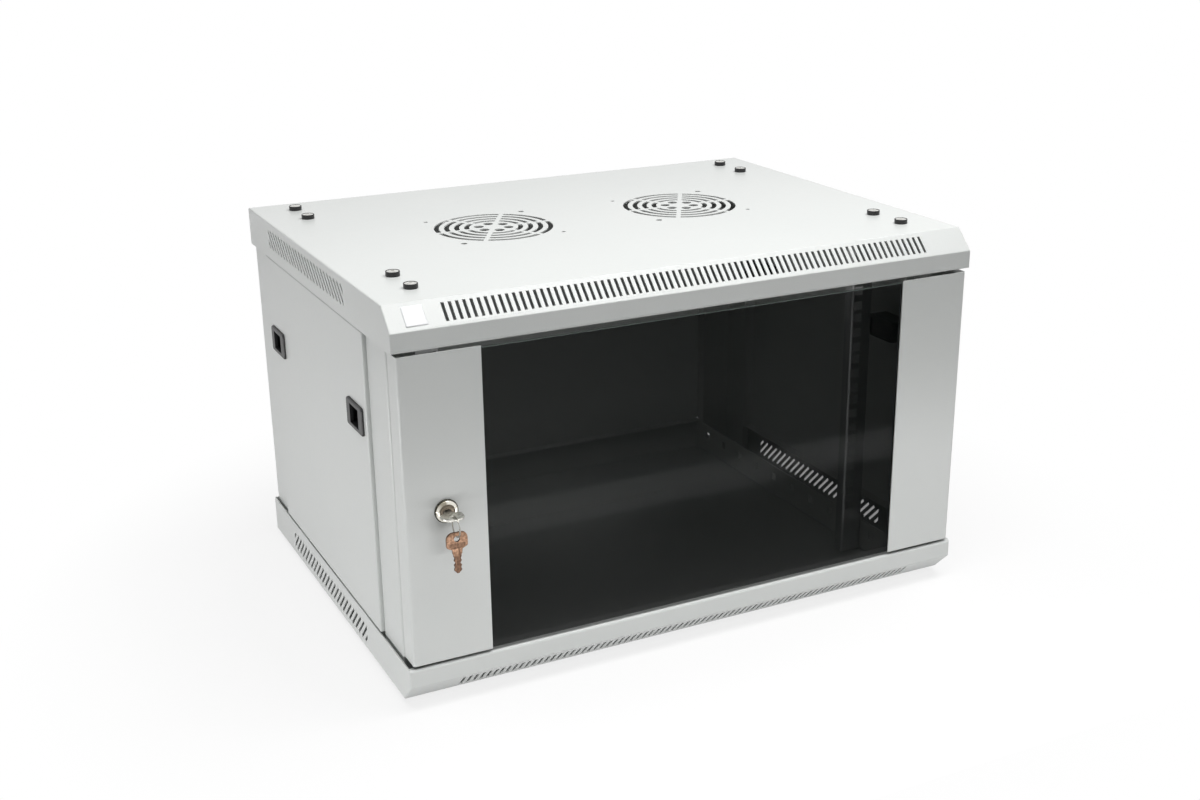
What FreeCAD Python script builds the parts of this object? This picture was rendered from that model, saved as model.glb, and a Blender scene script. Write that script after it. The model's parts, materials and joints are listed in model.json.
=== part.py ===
"""Wall mount network cabinet for 19-inch equipment, six units high, 600 wide and 450 deep.

Millimetres. X runs to the right, Y towards the wall and Z up. The origin is the centre of the
four wall bolt holes on the wall plane: the back is Y = 0, the mid-height is Z = 0 and the
door's face is Y = -DEPTH. Pieces that come in pairs are drawn on the right and mirrored.
"""
import FreeCAD
import Part
import math
import os

# ---- whole cabinet ----
WIDTH = 600.0
DEPTH = 450.0
HEIGHT = 370.0              # over both covers, without the screw heads

# ---- folded covers, top and base ----
COVER_T = 1.2
COVER_LIP = 38.0            # height of the side, front and rear lips
CHAMFER = 20.0              # of the front edge, each way
BEND_R = 1.5                # outer radius of a crisp fold
HEM_R = 2.7                 # outer radius of the hem along the front lip's edge
HEM_DEPTH = 18.0            # of the hem behind the lip's face
HEM_END_DEPTH = 5.0         # of its two ends, cut back for the door's hinge brackets
HEM_END = 34.0              # length of those ends
FRONT_SLOTS = 77
FRONT_SLOT_PITCH = 6.5
FRONT_SLOT_W = 3.0
FRONT_SLOT_L = 18.3
SIDE_SLOTS = 26
SIDE_SLOT_PITCH = 10.2
SIDE_SLOT_W = 3.2
SIDE_SLOT_RISE = 20.0
SIDE_SLOT_DROP = 7.0        # from the cover's flat to the upper end of a slot
SIDE_SLOT_SPAN = 250.0      # length of the slotted stretch, which clips its last slots
SIDE_SLOT_BACK = 202.0      # from the wall plane to the middle of that stretch

# ---- fan grilles in the top cover ----
FAN_SPACING = 212.0
FAN_BACK = 208.5            # from the wall plane to the fans' centres
FAN_HOLES = 105.0           # square of the fan's screw holes
FAN_HOLE_R = 2.15
FAN_HOLE_WIDE_R = 3.15
GRILLE_INNER_R = 27.0
GRILLE_RINGS = 4
GRILLE_RING_PITCH = 10.0
GRILLE_SLOT_W = 5.0
GRILLE_WEB = 4.5
GRILLE_SPOKES = 6
HUB_HOLES_R = 15.0
HUB_HOLE_R = 5.0

# ---- cover screws: M6 pan heads in moulded cup washers, threaded into the side rails ----
SCREW_INSET = 41.5          # from the covers' sides
SCREW_PAIR_OFFSET = 154.4   # of each pair from the side frame's middle
SCREW_PAIR_PITCH = 46.5
SCREW_R = 3.0
SCREW_L = 12.0              # under the head
SCREW_HEAD_R = 5.5
SCREW_HEAD_H = 3.2
SCREW_CROWN = 0.7           # rise of the crown above the head's edge
CUP_R = 6.5
CUP_H = 4.6
CUP_FLOOR = 1.8
CUP_WALL = 0.8
FIT = 0.1                   # radial play of a shank in its thread or bore

# ---- side frames ----
FRAME_T = 1.5
FRAME_BEND = 1.0            # inner radius of the frame's folds
FRAME_GAP = 2.8             # between a cover's lip and the posts
POST_FACE = 52.8            # visible width of a post from the side
POST_REBATE = 12.0          # step inwards that takes the side panel's flange
POST_CATCH = 6.0            # lip beyond the rebate, behind which the latches catch
POST_RETURN = 15.0
FRONT_POST_W = 25.5
REAR_POST_W = 46.0
RAIL_H = 35.8               # of the angles that join the posts
RAIL_HOLE = 8.5
RAIL_HOLE_PITCH = 39.0
RAIL_HOLES = 10
RAIL_HOLE_DROP = 24.0       # from the cover's flat

# ---- 19-inch rack rails ----
RACK_T = 2.0
RACK_OPENING = 450.0
RACK_HOLES_X = 465.1
RACK_BACK = 361.0           # from the wall plane to the rails' front face
RACK_WEB = 40.0
RACK_LIP = 12.0
RACK_CLEAR = 2.8            # rail ends to the covers
UNIT = 44.45
UNITS = 6
UNIT_HOLES = (6.35, 22.225, 38.1)
RACK_HOLE = 9.5
BOLT_R = 3.0
BOLT_HEAD_R = 5.2
BOLT_HEAD_H = 3.6
BOLT_NUT_AF = 10.0
BOLT_NUT_H = 5.0

# ---- rear panel ----
REAR_T = 1.2
REAR_SEAM = 1.2             # to the covers' rear lips
REAR_SIDE_SEAM = 2.0        # to the posts' outer faces
REAR_FLANGE = 12.0
CABLE_W = 300.0
CABLE_H = 60.0
CABLE_Z = 85.0              # middle of the rear cable entry
CABLE_CORNER_R = 8.0

# ---- wall bolts, through the covers' rear lips and the rear posts ----
WALL_HOLE_INSET = 30.0      # from the covers' sides
WALL_HOLE_DROP = 17.0       # from the covers' flats
WALL_HOLE_R = 5.0

# ---- cable entry in the base ----
FLOOR_ENTRY_W = 240.0
FLOOR_ENTRY_D = 60.0
FLOOR_ENTRY_BACK = 70.0     # from the wall plane to its middle
FLOOR_PLATE_LAP = 15.0

# ---- side panels ----
PANEL_T = 1.0
PANEL_INSET = 0.5           # of the outer face from the covers' sides
PANEL_DEPTH = 12.0
PANEL_SEAM = 0.7
PANEL_SEAM_BASE = 1.2
PANEL_SEAM_TOP = 0.7
PANEL_TAB_W = 30.0
PANEL_TAB_H = 7.2
PANEL_TAB_INSET = 1.3       # of the tabs' outer face from the panel's face
PANEL_TAB_OFFSET = 100.0    # of each tab from the panel's middle

# ---- side panel latches ----
LATCH_OFFSET = 128.0        # of each latch from the panel's middle
LATCH_Z = 59.4
LATCH_W = 44.0
LATCH_H = 26.5
LATCH_PROUD = 2.4
LATCH_CORNER_R = 3.0
LATCH_EDGE = 0.8
LATCH_BODY_W = 40.0
LATCH_BODY_H = 22.5
LATCH_WALL = 1.5
LATCH_BODY_D = 22.0         # behind the panel's face
LATCH_PLAY = 0.25
LATCH_POCKET_W = 24.0
LATCH_POCKET_H = 18.5
LATCH_LEDGE = 1.2
LATCH_LEDGE_REACH = 1.5
SLIDER_T = 3.0
SLIDER_L = 26.0
SLIDER_TRAVEL = 8.0
SLIDER_BAR_W = 6.0
SLIDER_BAR_H = 11.0
SLIDER_BAR_EDGE = 1.2
TONGUE_H = 13.0

# ---- glass door ----
DOOR_T = 1.2
DOOR_DEPTH = 25.0
DOOR_GAP = 1.5              # behind the door, to the posts
DOOR_SEAM = 3.0             # above and below the door
DOOR_SIDE_INSET = 4.2       # of its edges from the covers' sides
STRIP_W = 75.8
STRIP_LIP = 8.0
STRIP_BEND = 1.6
TAPE_T = 0.6
TAPE_W = 10.0
GLASS_T = 4.0
GLASS_LAP = 12.0            # behind each strip
GLASS_EDGE = 0.5
GLASS_DROP = 2.5            # of its top edge below the strips' ends
CLAMP_T = 1.0
CLAMP_W = 24.0
CLAMP_INSET = 2.0
CLAMP_END = 4.0
BUFFER_R = 2.8
BUFFER_INSET = 5.0          # from the door's edge
BUFFER_Z = 100.0

# ---- hinges: pins at the door's right edge ----
HINGE_INSET = 4.8           # of the axis from the door's edge
PIN_R = 2.5
PIN_FIT = 0.05
PIN_REACH = 12.5            # into the door's block
PIN_HEAD_R = 4.0
PIN_HEAD_H = 1.5
BLOCK_W = 9.6
BLOCK_D = 17.3
BLOCK_H = 14.0
BRACKET_T = 1.5
BRACKET_W = 18.0
BRACKET_REACH = 20.5
BRACKET_LEG = 17.0
BRACKET_SEAM = 0.3          # from the edge of the cover's lip
WASHER_R = 5.5
WASHER_PLAY = 0.1

# ---- cam lock ----
LOCK_INSET = 37.5           # from the door's left edge
LOCK_BARREL_R = 9.0
LOCK_BARREL_L = 29.0
LOCK_FLANGE_R = 10.0
LOCK_FLANGE_H = 2.2
LOCK_BEVEL = 1.2
BEZEL_R = 11.0
BEZEL_H = 1.6
PLUG_R = 6.0
PLUG_FIT = 0.05
PLUG_INSET = 0.4
KEYWAY_W = 7.6
KEYWAY_H = 2.4
KEYWAY_D = 24.0
LOCK_NUT_AF = 22.0
LOCK_NUT_H = 3.5
CAM_T = 2.0
CAM_W = 12.0
CAM_L = 31.0                # from the axis to the tip
CAM_GAP = 0.4               # behind the barrel
CAM_HUB = 8.0
CAM_SQUARE = 6.0
CAM_SCREW_R = 1.6
CAM_SCREW_HEAD_R = 4.2
CAM_SCREW_HEAD_H = 2.2
CAM_SCREW_L = 8.0
STRIKE_CLEAR = 1.4          # slot round the cam in the post's lip

# ---- keys and ring ----
KEY_T = 2.0
KEY_BOW_W = 19.6
KEY_BOW_L = 16.0
KEY_RIM = 3.4               # between the hole and the bow's end
KEY_HOLE_R = 2.8
KEY_BLADE_W = 7.2
KEY_BLADE_L = 22.5
KEY_BOW_R = 6.0
KEY_SHOULDER = 2.5          # slope from the bow to the blade
KEY_SHOULDER_R = 5.0
KEY_PLAIN = 3.0             # blade before the first cut
KEY_TIP = 2.0
KEY_CUTS = 5
KEY_CUT_DEPTH = 1.5
KEY_STAND_OFF = 3.4         # of the bow from the lock's face
RING_R = 8.8
RING_WIRE_R = 0.6
RING_FACETS = 8             # sides of the wire's section
RING_HANG = 0.7             # play between the ring and the top of the bow
RING_LEAN = 1.2             # of the ring outwards from the middle of the bow's rim
KEY_HANG = 0.2

# ---- places that follow from the sizes above ----
SIDE = WIDTH / 2
TOP = HEIGHT / 2
FRONT = -DEPTH
LIP_EDGE = TOP - COVER_LIP
FLAT_INNER = TOP - COVER_T
POST_OUT = SIDE - COVER_T - FRAME_GAP
POST_FRONT = FRONT + DOOR_DEPTH + DOOR_GAP
POST_REAR = -COVER_T
FRAME_MID = (POST_FRONT + POST_REAR) / 2
SCREW_X = SIDE - SCREW_INSET
WALL_HOLE_X = SIDE - WALL_HOLE_INSET
WALL_HOLE_Z = TOP - WALL_HOLE_DROP
RAIL_IN = POST_OUT - REAR_POST_W
CATCH_OUT = POST_OUT - POST_REBATE
CATCH_IN = CATCH_OUT - FRAME_T
PANEL_OUT = SIDE - PANEL_INSET
PANEL_HALF = FRAME_MID - POST_FRONT - POST_FACE - PANEL_SEAM
PANEL_BOTTOM = -LIP_EDGE + PANEL_SEAM_BASE
PANEL_TOP = LIP_EDGE - PANEL_SEAM_TOP
DOOR_OUT = SIDE - DOOR_SIDE_INSET
DOOR_HALF_H = LIP_EDGE - DOOR_SEAM
STRIP_IN = DOOR_OUT - STRIP_W
STRIP_BACK = FRONT + DOOR_T
GLASS_FRONT = STRIP_BACK + TAPE_T
GLASS_BACK = GLASS_FRONT + GLASS_T
LOCK_X = LOCK_INSET - DOOR_OUT
HINGE_X = DOOR_OUT - HINGE_INSET
HINGE_Y = FRONT + DOOR_DEPTH / 2
BRACKET_Z = LIP_EDGE + BRACKET_SEAM
RACK_FRONT = -RACK_BACK
RACK_BOLT_Y = RACK_FRONT + RACK_WEB / 2
RAIL_HOLE_Z = TOP - RAIL_HOLE_DROP
LOCK_FACE = FRONT - BEZEL_H - LOCK_FLANGE_H
CAM_FRONT = FRONT + LOCK_BARREL_L + CAM_GAP
CAM_BACK = CAM_FRONT + CAM_T
BOW_END = LOCK_FACE - KEY_STAND_OFF - KEY_BOW_L
KEY_HOLE_Y = BOW_END + KEY_RIM + KEY_HOLE_R
RING_Y = BOW_END + KEY_RIM / 2 - RING_LEAN
RING_Z = KEY_T / 2 + RING_HANG - (RING_R - RING_WIRE_R)
SPARE_HOLE_Z = RING_Z - (RING_R - RING_WIRE_R) + KEY_HANG - KEY_HOLE_R


# ---- drawing aids ----
def vec(x, y, z):
    return FreeCAD.Vector(x, y, z)


PLANES = {
    "X": lambda a, b, c: vec(c, a, b),
    "Y": lambda a, b, c: vec(a, c, b),
    "Z": lambda a, b, c: vec(a, b, c),
}
X_AXIS = vec(1, 0, 0)
Y_AXIS = vec(0, 1, 0)
Z_AXIS = vec(0, 0, 1)
DIRECTIONS = {"X": X_AXIS, "Y": Y_AXIS, "Z": Z_AXIS}


def rounded_corner(before, corner, after, radius):
    """Start, middle and end of the arc that rounds a corner."""
    to_before = (before - corner).normalize()
    to_after = (after - corner).normalize()
    half = to_before.getAngle(to_after) / 2
    reach = radius / math.tan(half)
    inward = (to_before + to_after).normalize()
    centre = corner + inward * (radius / math.sin(half))
    return corner + to_before * reach, centre - inward * radius, corner + to_after * reach


def closed_wire(corners, place):
    """Wire through corners (a, b) or (a, b, radius), with straight sides and round corners."""
    points = [place(corner[0], corner[1]) for corner in corners]
    count = len(points)
    arcs = []
    for i, corner in enumerate(corners):
        radius = corner[2] if len(corner) > 2 else 0
        if radius:
            arcs.append(rounded_corner(points[i - 1], points[i], points[(i + 1) % count], radius))
        else:
            arcs.append((points[i], None, points[i]))
    edges = []
    for i, (start, middle, end) in enumerate(arcs):
        if middle is not None:
            edges.append(Part.Arc(start, middle, end).toShape())
        following = arcs[(i + 1) % count][0]
        if end.distanceToPoint(following) > 1e-6:
            edges.append(Part.LineSegment(end, following).toShape())
    return Part.Wire(edges)


def prism(corners, axis, low, high):
    """Solid of a flat outline, from low to high along an axis."""
    place = PLANES[axis]
    wire = closed_wire(corners, lambda a, b: place(a, b, low))
    return Part.Face(wire).extrude(place(0, 0, high - low))


def block(x_span, y_span, z_span):
    corner = vec(x_span[0], y_span[0], z_span[0])
    return Part.makeBox(x_span[1] - x_span[0], y_span[1] - y_span[0], z_span[1] - z_span[0], corner)


def rod(axis, a, b, low, high, radius):
    """Round bar along an axis, through (a, b) in the plane across it."""
    return Part.makeCylinder(radius, high - low, PLANES[axis](a, b, low), DIRECTIONS[axis])


def ring(axis, a, b, low, high, outer, inner):
    return rod(axis, a, b, low, high, outer).cut(rod(axis, a, b, low, high, inner))


def rectangle(a_mid, b_mid, a_size, b_size, radius=0):
    a_half = a_size / 2
    b_half = b_size / 2
    signs = ((-1, -1), (1, -1), (1, 1), (-1, 1))
    return [(a_mid + i * a_half, b_mid + j * b_half, radius) for i, j in signs]


def hexagon(across_flats, axis, a, b, low, high):
    """Six-sided bar with its flats square to the first direction across the axis."""
    reach = across_flats / math.sqrt(3)
    turns = [math.radians(60 * i + 30) for i in range(6)]
    corners = [(a + reach * math.cos(t), b + reach * math.sin(t)) for t in turns]
    return prism(corners, axis, low, high)


def turned(corners, degrees, a_mid, b_mid):
    """Flat outline turned about its own origin and moved to a middle."""
    c = math.cos(math.radians(degrees))
    s = math.sin(math.radians(degrees))
    return [(a_mid + a * c - b * s, b_mid + a * s + b * c) for a, b, _ in corners]


def folded(line, thickness, bend):
    """Section of folded sheet: the line is one face, and the sheet lies on its left.

    Each fold has an inner radius of bend and an outer one of bend plus thickness.
    """
    steps = []
    for (a0, b0), (a1, b1) in zip(line, line[1:]):
        length = math.hypot(a1 - a0, b1 - b0)
        steps.append(((a1 - a0) / length, (b1 - b0) / length))
    first, last = steps[0], steps[-1]
    near = [line[0]]
    far = [(line[0][0] - first[1] * thickness, line[0][1] + first[0] * thickness)]
    for point, before, after in zip(line[1:-1], steps, steps[1:]):
        cross = before[0] * after[1] - before[1] * after[0]
        along = (1 - (before[0] * after[0] + before[1] * after[1])) / cross * thickness
        inner = (point[0] - before[1] * thickness - before[0] * along,
                 point[1] + before[0] * thickness - before[1] * along)
        near.append((point[0], point[1], bend + thickness if cross > 0 else bend))
        far.append((inner[0], inner[1], bend if cross > 0 else bend + thickness))
    near.append(line[-1])
    far.append((line[-1][0] - last[1] * thickness, line[-1][1] + last[0] * thickness))
    return near + far[::-1]


def mirrored(shape, normal, at=0.0):
    return shape.mirror(normal * at, normal)


def pair(shape):
    """Right-hand piece and its mirror image on the left."""
    return {"right": shape, "left": mirrored(shape, X_AXIS)}


# ---- covers ----
def cover_section(inset):
    """Side view of the top cover from its front lip back: lip, chamfer, flat and rear face."""
    step = inset * (math.sqrt(2) - 1)
    return [
        (FRONT + inset, TOP - CHAMFER - step),
        (FRONT + CHAMFER + step, TOP - inset),
        (-inset, TOP - inset),
    ]


def tray_space(hem_depth, x_span):
    """Inside of the top cover, over a stretch where its front hem has one depth."""
    hem_back = FRONT + hem_depth
    hem_top = LIP_EDGE + COVER_T
    outline = [(hem_back, LIP_EDGE - 1), (hem_back, hem_top)]
    outline += [(FRONT + COVER_T, hem_top, HEM_R - COVER_T)] + cover_section(COVER_T)
    outline += [(-COVER_T, LIP_EDGE - 1)]
    return prism(outline, "X", *x_span)


def folded_tray():
    """Top cover before it is punched, with crisp outer folds and a hem along the front lip."""
    outside = [(FRONT, LIP_EDGE)] + cover_section(0) + [(0, LIP_EDGE)]
    shell = prism(outside, "X", -SIDE, SIDE)
    folds = [edge for edge in shell.Edges if edge.BoundBox.ZMax > LIP_EDGE + 1e-3]
    shell = shell.makeFillet(BEND_R, folds)
    wall = SIDE - COVER_T
    end = SIDE - HEM_END
    spaces = [tray_space(HEM_END_DEPTH, span) for span in ((-wall, -end), (end, wall))]
    spaces.append(tray_space(HEM_DEPTH, (-end, end)))
    corner = [
        (FRONT - 1, LIP_EDGE - 1),
        (FRONT + HEM_R, LIP_EDGE - 1),
        (FRONT + HEM_R, LIP_EDGE),
        (FRONT, LIP_EDGE, HEM_R),
        (FRONT, LIP_EDGE + HEM_R),
        (FRONT - 1, LIP_EDGE + HEM_R),
    ]
    return shell.cut(spaces + [prism(corner, "X", -SIDE - 1, SIDE + 1)])


def front_slots():
    """Row of straight slots, square to the chamfer."""
    middle = vec(0, FRONT + CHAMFER / 2, TOP - CHAMFER / 2)
    reach = 3 * COVER_T
    tools = []
    for i in range(FRONT_SLOTS):
        tool = prism(rectangle(0, 0, FRONT_SLOT_W, FRONT_SLOT_L), "Z", -reach, reach)
        tool.rotate(vec(0, 0, 0), X_AXIS, 45)
        x = (i - (FRONT_SLOTS - 1) / 2) * FRONT_SLOT_PITCH
        tool.translate(middle + X_AXIS * x)
        tools.append(tool)
    return tools


def side_slots():
    """Slanted slots in one side lip, clipped where the slotted stretch ends."""
    length = (SIDE_SLOT_RISE - SIDE_SLOT_W) * math.sqrt(2) + SIDE_SLOT_W
    z_mid = TOP - SIDE_SLOT_DROP - SIDE_SLOT_RISE / 2
    half = SIDE_SLOT_SPAN / 2
    x_span = (SIDE - 3 * COVER_T, SIDE + COVER_T)
    window = block(x_span, (-SIDE_SLOT_BACK - half, -SIDE_SLOT_BACK + half), (LIP_EDGE, TOP))
    tools = []
    for i in range(SIDE_SLOTS):
        y_mid = -SIDE_SLOT_BACK + (i - (SIDE_SLOTS - 1) / 2) * SIDE_SLOT_PITCH
        corners = turned(rectangle(0, 0, SIDE_SLOT_W, length), -45, y_mid, z_mid)
        tool = prism(corners, "X", *x_span)
        if abs(y_mid + SIDE_SLOT_BACK) + SIDE_SLOT_RISE / 2 > half:
            tool = tool.common(window)
        tools.append(tool)
    return tools


def ring_slot(radius, start, end):
    """Curved slot of a grille ring between two directions, in degrees."""
    inner = radius - GRILLE_SLOT_W / 2
    outer = radius + GRILLE_SLOT_W / 2

    def at(r, degrees):
        turn = math.radians(degrees)
        return vec(r * math.cos(turn), r * math.sin(turn), 0)

    middle = (start + end) / 2
    edges = [
        Part.Arc(at(outer, start), at(outer, middle), at(outer, end)).toShape(),
        Part.LineSegment(at(outer, end), at(inner, end)).toShape(),
        Part.Arc(at(inner, end), at(inner, middle), at(inner, start)).toShape(),
        Part.LineSegment(at(inner, start), at(outer, start)).toShape(),
    ]
    return Part.Face(Part.Wire(edges))


def fan_grille(x_mid):
    """Punched openings of one fan: rings of curved slots, hub holes and four screw holes."""
    sector = 360.0 / GRILLE_SPOKES
    faces = []
    for i in range(GRILLE_RINGS):
        radius = GRILLE_INNER_R + i * GRILLE_RING_PITCH
        web = math.degrees(GRILLE_WEB / radius)
        for j in range(GRILLE_SPOKES):
            faces.append(ring_slot(radius, j * sector + web / 2, (j + 1) * sector - web / 2))
    low = FLAT_INNER - COVER_T
    tools = [face.extrude(vec(0, 0, 3 * COVER_T)) for face in faces]
    for tool in tools:
        tool.translate(vec(x_mid, -FAN_BACK, low))
    for j in range(GRILLE_SPOKES):
        turn = math.radians((j + 0.5) * sector)
        x = x_mid + HUB_HOLES_R * math.cos(turn)
        y = -FAN_BACK + HUB_HOLES_R * math.sin(turn)
        tools.append(rod("Z", x, y, low, low + 3 * COVER_T, HUB_HOLE_R))
    half = FAN_HOLES / 2
    for i, j in ((-1, -1), (1, -1), (1, 1), (-1, 1)):
        radius = FAN_HOLE_WIDE_R if i == j else FAN_HOLE_R
        tools.append(rod("Z", x_mid + i * half, -FAN_BACK + j * half, low, low + 3 * COVER_T, radius))
    return tools


def screw_places():
    """(x, y) of the eight cover screws."""
    places = []
    for x in (-SCREW_X, SCREW_X):
        for pair_side in (-1, 1):
            for half_pitch in (-SCREW_PAIR_PITCH / 2, SCREW_PAIR_PITCH / 2):
                places.append((x, FRAME_MID + pair_side * SCREW_PAIR_OFFSET + half_pitch))
    return places


def screw_holes(low, high):
    return [rod("Z", x, y, low, high, SCREW_R + FIT) for x, y in screw_places()]


def wall_holes():
    """Bolt holes through everything at the back between the wall plane and the posts' inside."""
    low = POST_REAR - FRAME_T - 1
    places = [(x, z) for x in (-WALL_HOLE_X, WALL_HOLE_X) for z in (-WALL_HOLE_Z, WALL_HOLE_Z)]
    return [rod("Y", x, z, low, 1, WALL_HOLE_R) for x, z in places]


def punched_tray():
    slots = side_slots()
    far_slots = [mirrored(tool, X_AXIS) for tool in slots]
    holes = screw_holes(FLAT_INNER - 1, TOP + 1) + wall_holes()
    return folded_tray().cut(front_slots() + slots + far_slots + holes)


def covers():
    tray = punched_tray()
    fans = fan_grille(-FAN_SPACING / 2) + fan_grille(FAN_SPACING / 2)
    entry = prism(rectangle(0, -FLOOR_ENTRY_BACK, FLOOR_ENTRY_W, FLOOR_ENTRY_D, CABLE_CORNER_R),
                  "Z", -TOP - 1, -FLAT_INNER + 1)
    return {
        "top_cover": tray.cut(fans),
        "base_cover": mirrored(tray, Z_AXIS).cut(entry),
    }


def floor_entry():
    """Knock-out plate welded over the base's cable entry."""
    outline = rectangle(0, -FLOOR_ENTRY_BACK, FLOOR_ENTRY_W + 2 * FLOOR_PLATE_LAP,
                        FLOOR_ENTRY_D + 2 * FLOOR_PLATE_LAP)
    return {"floor_entry_plate": prism(outline, "Z", -FLAT_INNER, -FLAT_INNER + COVER_T)}


def cup_washer(x, y):
    cup = ring("Z", x, y, TOP, TOP + CUP_H, CUP_R, SCREW_R + FIT)
    return cup.cut(rod("Z", x, y, TOP + CUP_FLOOR, TOP + CUP_H + 1, CUP_R - CUP_WALL))


def pan_screw(x, y):
    """Screw with a crowned head that stands a little above its cup."""
    seat = TOP + CUP_FLOOR
    crown_r = (SCREW_HEAD_R ** 2 + SCREW_CROWN ** 2) / (2 * SCREW_CROWN)
    ball = Part.makeSphere(crown_r, vec(x, y, seat + SCREW_HEAD_H - crown_r))
    head = rod("Z", x, y, seat, seat + SCREW_HEAD_H, SCREW_HEAD_R).common(ball)
    return head.fuse(rod("Z", x, y, seat - SCREW_L, seat, SCREW_R))


def cover_screws():
    nodes = {}
    for name, maker in (("cover_washers", cup_washer), ("cover_screws", pan_screw)):
        group = Part.makeCompound([maker(x, y) for x, y in screw_places()])
        nodes["top_" + name] = group
        nodes["base_" + name] = mirrored(group, Z_AXIS)
    return nodes


# ---- side frames ----
def front_post_line(width):
    """Outer face of a post seen from above: return, front, side, rebate and catch lip."""
    rebate = POST_FRONT + POST_FACE
    inner = POST_OUT - width
    return [
        (inner, POST_FRONT + POST_RETURN),
        (inner, POST_FRONT),
        (POST_OUT, POST_FRONT),
        (POST_OUT, rebate),
        (CATCH_OUT, rebate),
        (CATCH_OUT, rebate + POST_CATCH),
    ]


def post(width):
    section = folded(front_post_line(width), FRAME_T, FRAME_BEND)
    return prism(section, "Z", -FLAT_INNER, FLAT_INNER)


def strike_slot():
    """Window in the left front post's return that lets the cam swing behind the post's front."""
    x_inner = -(POST_OUT - FRONT_POST_W)
    swing = math.hypot(CAM_L, CAM_W / 2)
    drop = math.sqrt(swing ** 2 - (LOCK_X - x_inner) ** 2)
    return block((x_inner - FRAME_T - 1, x_inner + 1),
                 (CAM_FRONT - STRIKE_CLEAR, CAM_BACK + STRIKE_CLEAR),
                 (-drop - STRIKE_CLEAR, CAM_W / 2 + STRIKE_CLEAR))


def posts():
    front = pair(post(FRONT_POST_W))
    rear = pair(mirrored(post(REAR_POST_W), Y_AXIS, FRAME_MID).cut(wall_holes()))
    return {
        "front_post_left": front["left"].cut(strike_slot()),
        "front_post_right": front["right"],
        "rear_post_left": rear["left"],
        "rear_post_right": rear["right"],
    }


def rail_hole_places():
    return [RACK_BOLT_Y + (i - 1) * RAIL_HOLE_PITCH for i in range(RAIL_HOLES)]


def side_rails():
    """Angles between the posts: a flange under the cover and a web with adjusting holes."""
    line = [(CATCH_IN, FLAT_INNER), (RAIL_IN, FLAT_INNER), (RAIL_IN, FLAT_INNER - RAIL_H)]
    y_span = (POST_FRONT + POST_RETURN, POST_REAR - POST_RETURN)
    rail = prism(folded(line, FRAME_T, FRAME_BEND), "Y", *y_span)
    x_span = (RAIL_IN - 1, RAIL_IN + FRAME_T + 1)
    tools = []
    for y in rail_hole_places():
        tools.append(prism(rectangle(y, RAIL_HOLE_Z, RAIL_HOLE, RAIL_HOLE), "X", *x_span))
    tools += screw_holes(FLAT_INNER - FRAME_T - 1, FLAT_INNER + 1)
    upper = pair(rail.cut(tools))
    return {
        "upper_rail_left": upper["left"],
        "upper_rail_right": upper["right"],
        "lower_rail_left": mirrored(upper["left"], Z_AXIS),
        "lower_rail_right": mirrored(upper["right"], Z_AXIS),
    }


# ---- 19-inch rack rails ----
def rack_hole_heights():
    base = -UNITS * UNIT / 2
    return [base + unit * UNIT + hole for unit in range(UNITS) for hole in UNIT_HOLES]


def rack_rails():
    """Rails with a row of square holes in front and a web bolted to the side rails."""
    inner = RACK_OPENING / 2
    half_h = FLAT_INNER - RACK_CLEAR
    line = [
        (inner, RACK_FRONT + RACK_LIP),
        (inner, RACK_FRONT),
        (RAIL_IN, RACK_FRONT),
        (RAIL_IN, RACK_FRONT + RACK_WEB),
    ]
    rail = prism(folded(line, RACK_T, 0.5), "Z", -half_h, half_h)
    y_span = (RACK_FRONT - 1, RACK_FRONT + RACK_T + 1)
    tools = []
    for z in rack_hole_heights():
        tools.append(prism(rectangle(RACK_HOLES_X / 2, z, RACK_HOLE, RACK_HOLE), "Y", *y_span))
    for z in (-RAIL_HOLE_Z, RAIL_HOLE_Z):
        tools.append(rod("X", RACK_BOLT_Y, z, RAIL_IN - RACK_T - 1, RAIL_IN + 1, BOLT_R + FIT))
    sides = pair(rail.cut(tools))
    return {"rack_rail_left": sides["left"], "rack_rail_right": sides["right"]}


def rack_bolts():
    inner = RAIL_IN - RACK_T
    outer = RAIL_IN + FRAME_T
    bolts = []
    nuts = []
    for z in (-RAIL_HOLE_Z, RAIL_HOLE_Z):
        head = rod("X", RACK_BOLT_Y, z, inner - BOLT_HEAD_H, inner, BOLT_HEAD_R)
        shank = rod("X", RACK_BOLT_Y, z, inner, outer + BOLT_NUT_H + 1, BOLT_R)
        nut = prism(rectangle(RACK_BOLT_Y, z, BOLT_NUT_AF, BOLT_NUT_AF), "X", outer, outer + BOLT_NUT_H)
        nut = nut.cut(rod("X", RACK_BOLT_Y, z, outer, outer + BOLT_NUT_H, BOLT_R + FIT))
        bolts += pair(head.fuse(shank)).values()
        nuts += pair(nut).values()
    return {
        "rack_rail_bolts": Part.makeCompound(bolts),
        "rack_rail_nuts": Part.makeCompound(nuts),
    }


# ---- rear panel ----
def rear_panel():
    half_w = POST_OUT - REAR_SIDE_SEAM
    half_h = LIP_EDGE - REAR_SEAM
    flange = RAIL_IN - 1
    line = [(-REAR_FLANGE, -half_h), (0, -half_h), (0, half_h), (-REAR_FLANGE, half_h)]
    panel = prism(folded(line, REAR_T, 0.5), "X", -flange, flange)
    for x_span in ((-half_w, -flange), (flange, half_w)):
        panel = panel.fuse(block(x_span, (-REAR_T, 0), (-half_h + BEND_R, half_h - BEND_R)))
    entry = rectangle(0, CABLE_Z, CABLE_W, CABLE_H, CABLE_CORNER_R)
    return {"rear_panel": panel.removeSplitter().cut(prism(entry, "Y", -REAR_T - 1, 1))}


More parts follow.
